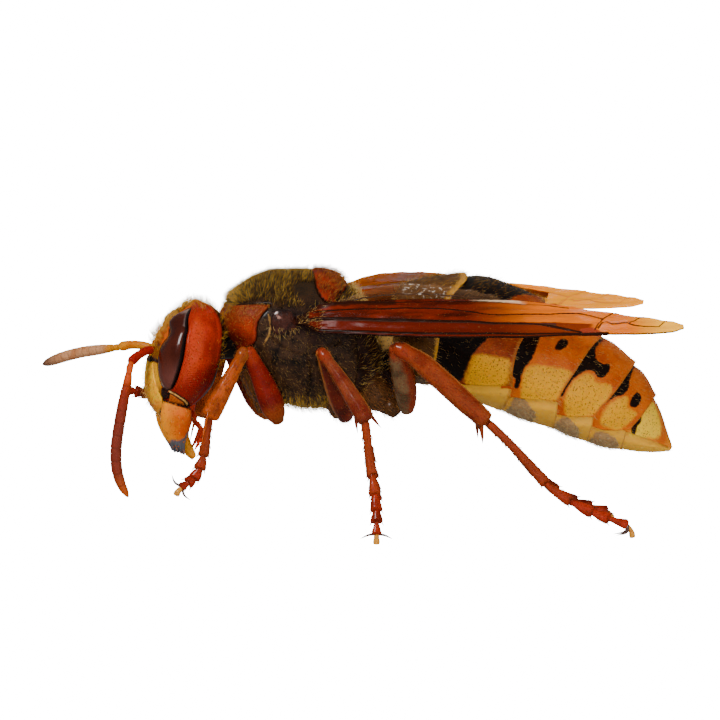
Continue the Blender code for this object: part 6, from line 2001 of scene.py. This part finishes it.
    def build_foot(self, leg: str, pair: str, finish: bpy.types.Material) -> None:
        """A foot: five joints, each wider at its far end, with spines, claws and a pad.

        Args:
            leg: the leg's name.
            pair: front, middle or hind.
            finish: its material.
        """
        points = self.lines[leg]["foot"]
        line = Line(points)
        draft = Draft(f"{leg}_foot_skin")
        rough = []
        for k in range(5):
            low, high = self.joints[k], self.joints[k + 1]
            inner = np.linspace(0, 1, 7)
            sub = Line(tuple(map(tuple, line.at(low + (high - low) * (inner * (1.0 if k == 4 else 0.97))))))
            wide = ((0, 0.8), (0.08, 0.88), (0.5, 0.86), (0.86, 1.12), (0.96, 1.22), (1, 1.05))
            heart = ((0, 0.5), (0.12, 0.62), (0.45, 0.92), (0.78, 1.22), (0.92, 1.3), (1, 1.05))
            last = ((0, 0.48), (0.3, 0.6), (0.75, 0.95), (0.92, 1.05), (1, 0.8))
            shape = wide if k == 0 else last if k == 4 else heart
            halves = Table(tuple((s, h * self.foot_half) for s, h in shape))
            tube = Tube(sub, halves, 0.78, 24, 24 if k else 44, 0.06,
                side=tuple(np.cross(sub.ahead(0.0), (0, 1, 0)))).shape()
            turn = np.radians(tube.turn)
            corner = np.abs(np.cos(turn)) ** 3 * ease(tube.along, 0.55, 1.0) * (0.16 if k < 4 else 0.0)
            moved = tube.points + line.ahead(high)[None, None] * corner[..., None]
            joint = Skin(moved, tube.along, tube.turn).raised(0.01 * grain(moved, 4.0, k))
            rough.append(joint)
            draft.skin(joint, basal=(0.4, 0.05, -0.6, -0.9, -1.2)[k], claw=-1.0, pad=-1.0, spine=-1.0)
            self.add_spines(draft, line, low, high, k)
        self.add_claws(draft, points, leg, pair)
        draft.build(finish, "leg", f"{leg}_tarsus")
        bristle = bpy.data.materials["foot_bristle"]
        for k, joint in enumerate(rough[:4]):
            Coat(f"{leg}_foot_coat_{k + 1}", 42, (0.1, 0.26), 0.009, 0.32, tuple(line.ahead(0.5)), 0.2,
                 seed=91 + k).grow(joint, 1.0, bristle, "leg")

    def add_spines(self, draft: Draft, line: Line, low: float, high: float, joint: int) -> None:
        """Spines at the far corners of a foot's joint, and along the first one.

        Args:
            draft: the foot.
            line: the foot's line.
            low: where the joint starts.
            high: where it ends.
            joint: its number.
        """
        spots = [(0.95, 0.42, 0.036)] if joint < 4 else []
        if joint == 0:
            spots += [(0.45, 0.3, 0.028), (0.7, 0.32, 0.028), (0.25, 0.26, 0.026)]
        for inner, length, radius in spots:
            share = low + (high - low) * inner
            ahead = line.ahead(share)
            wide = unit(np.cross(ahead, (0.0, 1.0, 0.0)))
            for hand in (-1, 1):
                for lean in (-0.35, 0.35):
                    out = unit(wide + np.array([0, lean, 0]))
                    root = line.at(share) + out * hand * self.foot_half * 0.85
                    way = unit(out * hand * 0.55 + ahead)
                    spike(draft, root, root + way * length, radius, sides=6, basal=-1.0, claw=-1.0, pad=-1.0,
                          spine=1.0)

    def add_claws(self, draft: Draft, points: tuple, leg: str, pair: str) -> None:
        """The pad and the two hooked claws at the end of a foot.

        Args:
            draft: the foot.
            points: the foot's line.
            leg: the leg's name.
            pair: front, middle or hind.
        """
        end = np.array(points[-1])
        ahead = unit(end - np.array(points[-2]))
        sideways = leg in ("middle_right", "hind_left", "hind_right")
        spread = np.array([0, 1.0, 0]) if sideways else np.cross(ahead, (0, 1.0, 0))
        spread = unit(spread - ahead * (spread @ ahead))
        down = np.cross(ahead, spread)
        down = down if down[2] < 0 else -down
        if pair == "front":
            sole = end + ahead * 0.42 + np.array([0, 0, -0.24])
        else:
            sole = np.array([end[0] + ahead[0] * self.pad_reach, end[1], 0.07])
        line = (tuple(end - ahead * 0.1), tuple((end + sole) / 2 + ahead * 0.08), tuple(sole))
        pad = Tube(Line(line),
            Table(((0, 0.16), (0.5, 0.18), (0.85, self.pad_half), (1, self.pad_half * 0.9))), 0.9, 24, 20,
            0.06, side=tuple(spread)).shape()
        dark_end = (pad.along - 0.8) * 3
        draft.skin(pad, pad=0.5 - dark_end * 0.6, basal=-1.0, claw=dark_end - 0.4, spine=-1.0)
        for hand in (-1, 1):
            bend, tip = (end + spread * hand * o + ahead * a + down * d for o, a, d in
                         self.claws.get(leg, self.claws[pair]))
            spike(draft, end + spread * hand * 0.08, tip, 0.095, bend, 12, basal=-1.0, claw=1.0, pad=-1.0,
                  spine=-1.0)


@dataclass
class Studio:
    """Floor, light and camera."""

    eye: tuple[float, float, float] = (-36.689, -297.356, 26.53)
    target: tuple[float, float, float] = (-0.178, 0.0, 10.829)
    lens: float = 239.1

    def build(self) -> None:
        """Sets up the whole studio."""
        self.build_floor()
        self.build_lights()
        self.build_camera()

    def build_floor(self) -> None:
        """A pale sheet that curves up behind."""
        arc = np.linspace(0, math.pi / 2, 24)
        profile = [(-1200.0, 0.0), (350.0, 0.0)]
        profile += [(350 + 400 * math.sin(a), 400 - 400 * math.cos(a)) for a in arc[1:]]
        profile += [(750.0, 1200.0)]
        mesh = bpy.data.meshes.new("floor")
        points = [(x * MM, y * MM, z * MM) for y, z in profile for x in (-1500, 1500)]
        faces = [(2 * i, 2 * i + 1, 2 * i + 3, 2 * i + 2) for i in range(len(profile) - 1)]
        mesh.from_pydata(points, [], faces)
        mesh.shade_smooth()
        floor = bpy.data.objects.new("floor", mesh)
        bpy.context.scene.collection.objects.link(floor)
        floor.visible_diffuse = False
        floor.visible_glossy = False
        floor.visible_shadow = False
        shade = Shade("floor_white")
        pale = shade.mix("f4f4f4", "ffffff", shade.noise(shade.place(), 0.02))
        mesh.materials.append(shade.finish(pale, 0.9, Emission_Strength=18.0,
            Emission_Color=(1.0, 1.0, 1.0, 1.0)))

    def build_lights(self) -> None:
        """Large soft panels and a bright room."""
        world = bpy.data.worlds.new("room")
        bpy.context.scene.world = world
        world.use_nodes = True
        background = world.node_tree.nodes["Background"]
        background.inputs[0].default_value = (1.0, 1.0, 1.0, 1.0)
        background.inputs[1].default_value = 0.16
        for name, place, size, watts, glints in (
                ("key", (-170, -220, 220), 115, 1.05, True), ("fill", (150, -280, 30), 260, 0.55, False),
                ("back", (30, 260, 190), 130, 0.45, False), ("low", (-20, -240, -110), 220, 0.38, False)):
            data = bpy.data.lights.new(name, "AREA")
            data.size = size * MM
            data.energy = watts
            lamp = bpy.data.objects.new(name, data)
            lamp.location = Vector(place) * MM
            lamp.visible_glossy = glints
            lamp.rotation_euler = (-Vector(place) + Vector((0, 0, 10))).to_track_quat("-Z", "Y").to_euler()
            bpy.context.scene.collection.objects.link(lamp)

    def build_camera(self) -> None:
        """The camera at the photograph's viewing angle."""
        data = bpy.data.cameras.new("camera")
        data.lens = self.lens
        data.sensor_width = 36.0
        data.clip_start = 0.01
        data.clip_end = 10.0
        camera = bpy.data.objects.new("camera", data)
        camera.location = Vector(self.eye) * MM
        camera.rotation_euler = (Vector(self.target) - Vector(self.eye)).to_track_quat("-Z", "Y").to_euler()
        bpy.context.scene.collection.objects.link(camera)
        bpy.context.scene.camera = camera


def main() -> None:
    """Builds the hornet and her studio, and notes each assembly as it is built."""
    logging.basicConfig(level=logging.INFO, format="%(message)s")
    for assembly in (Studio(), Head(), Thorax(), Gaster(), Wings(), Legs()):
        assembly.build()
        log.info("%s is built", type(assembly).__name__)


if __name__ == "__main__":
    main()
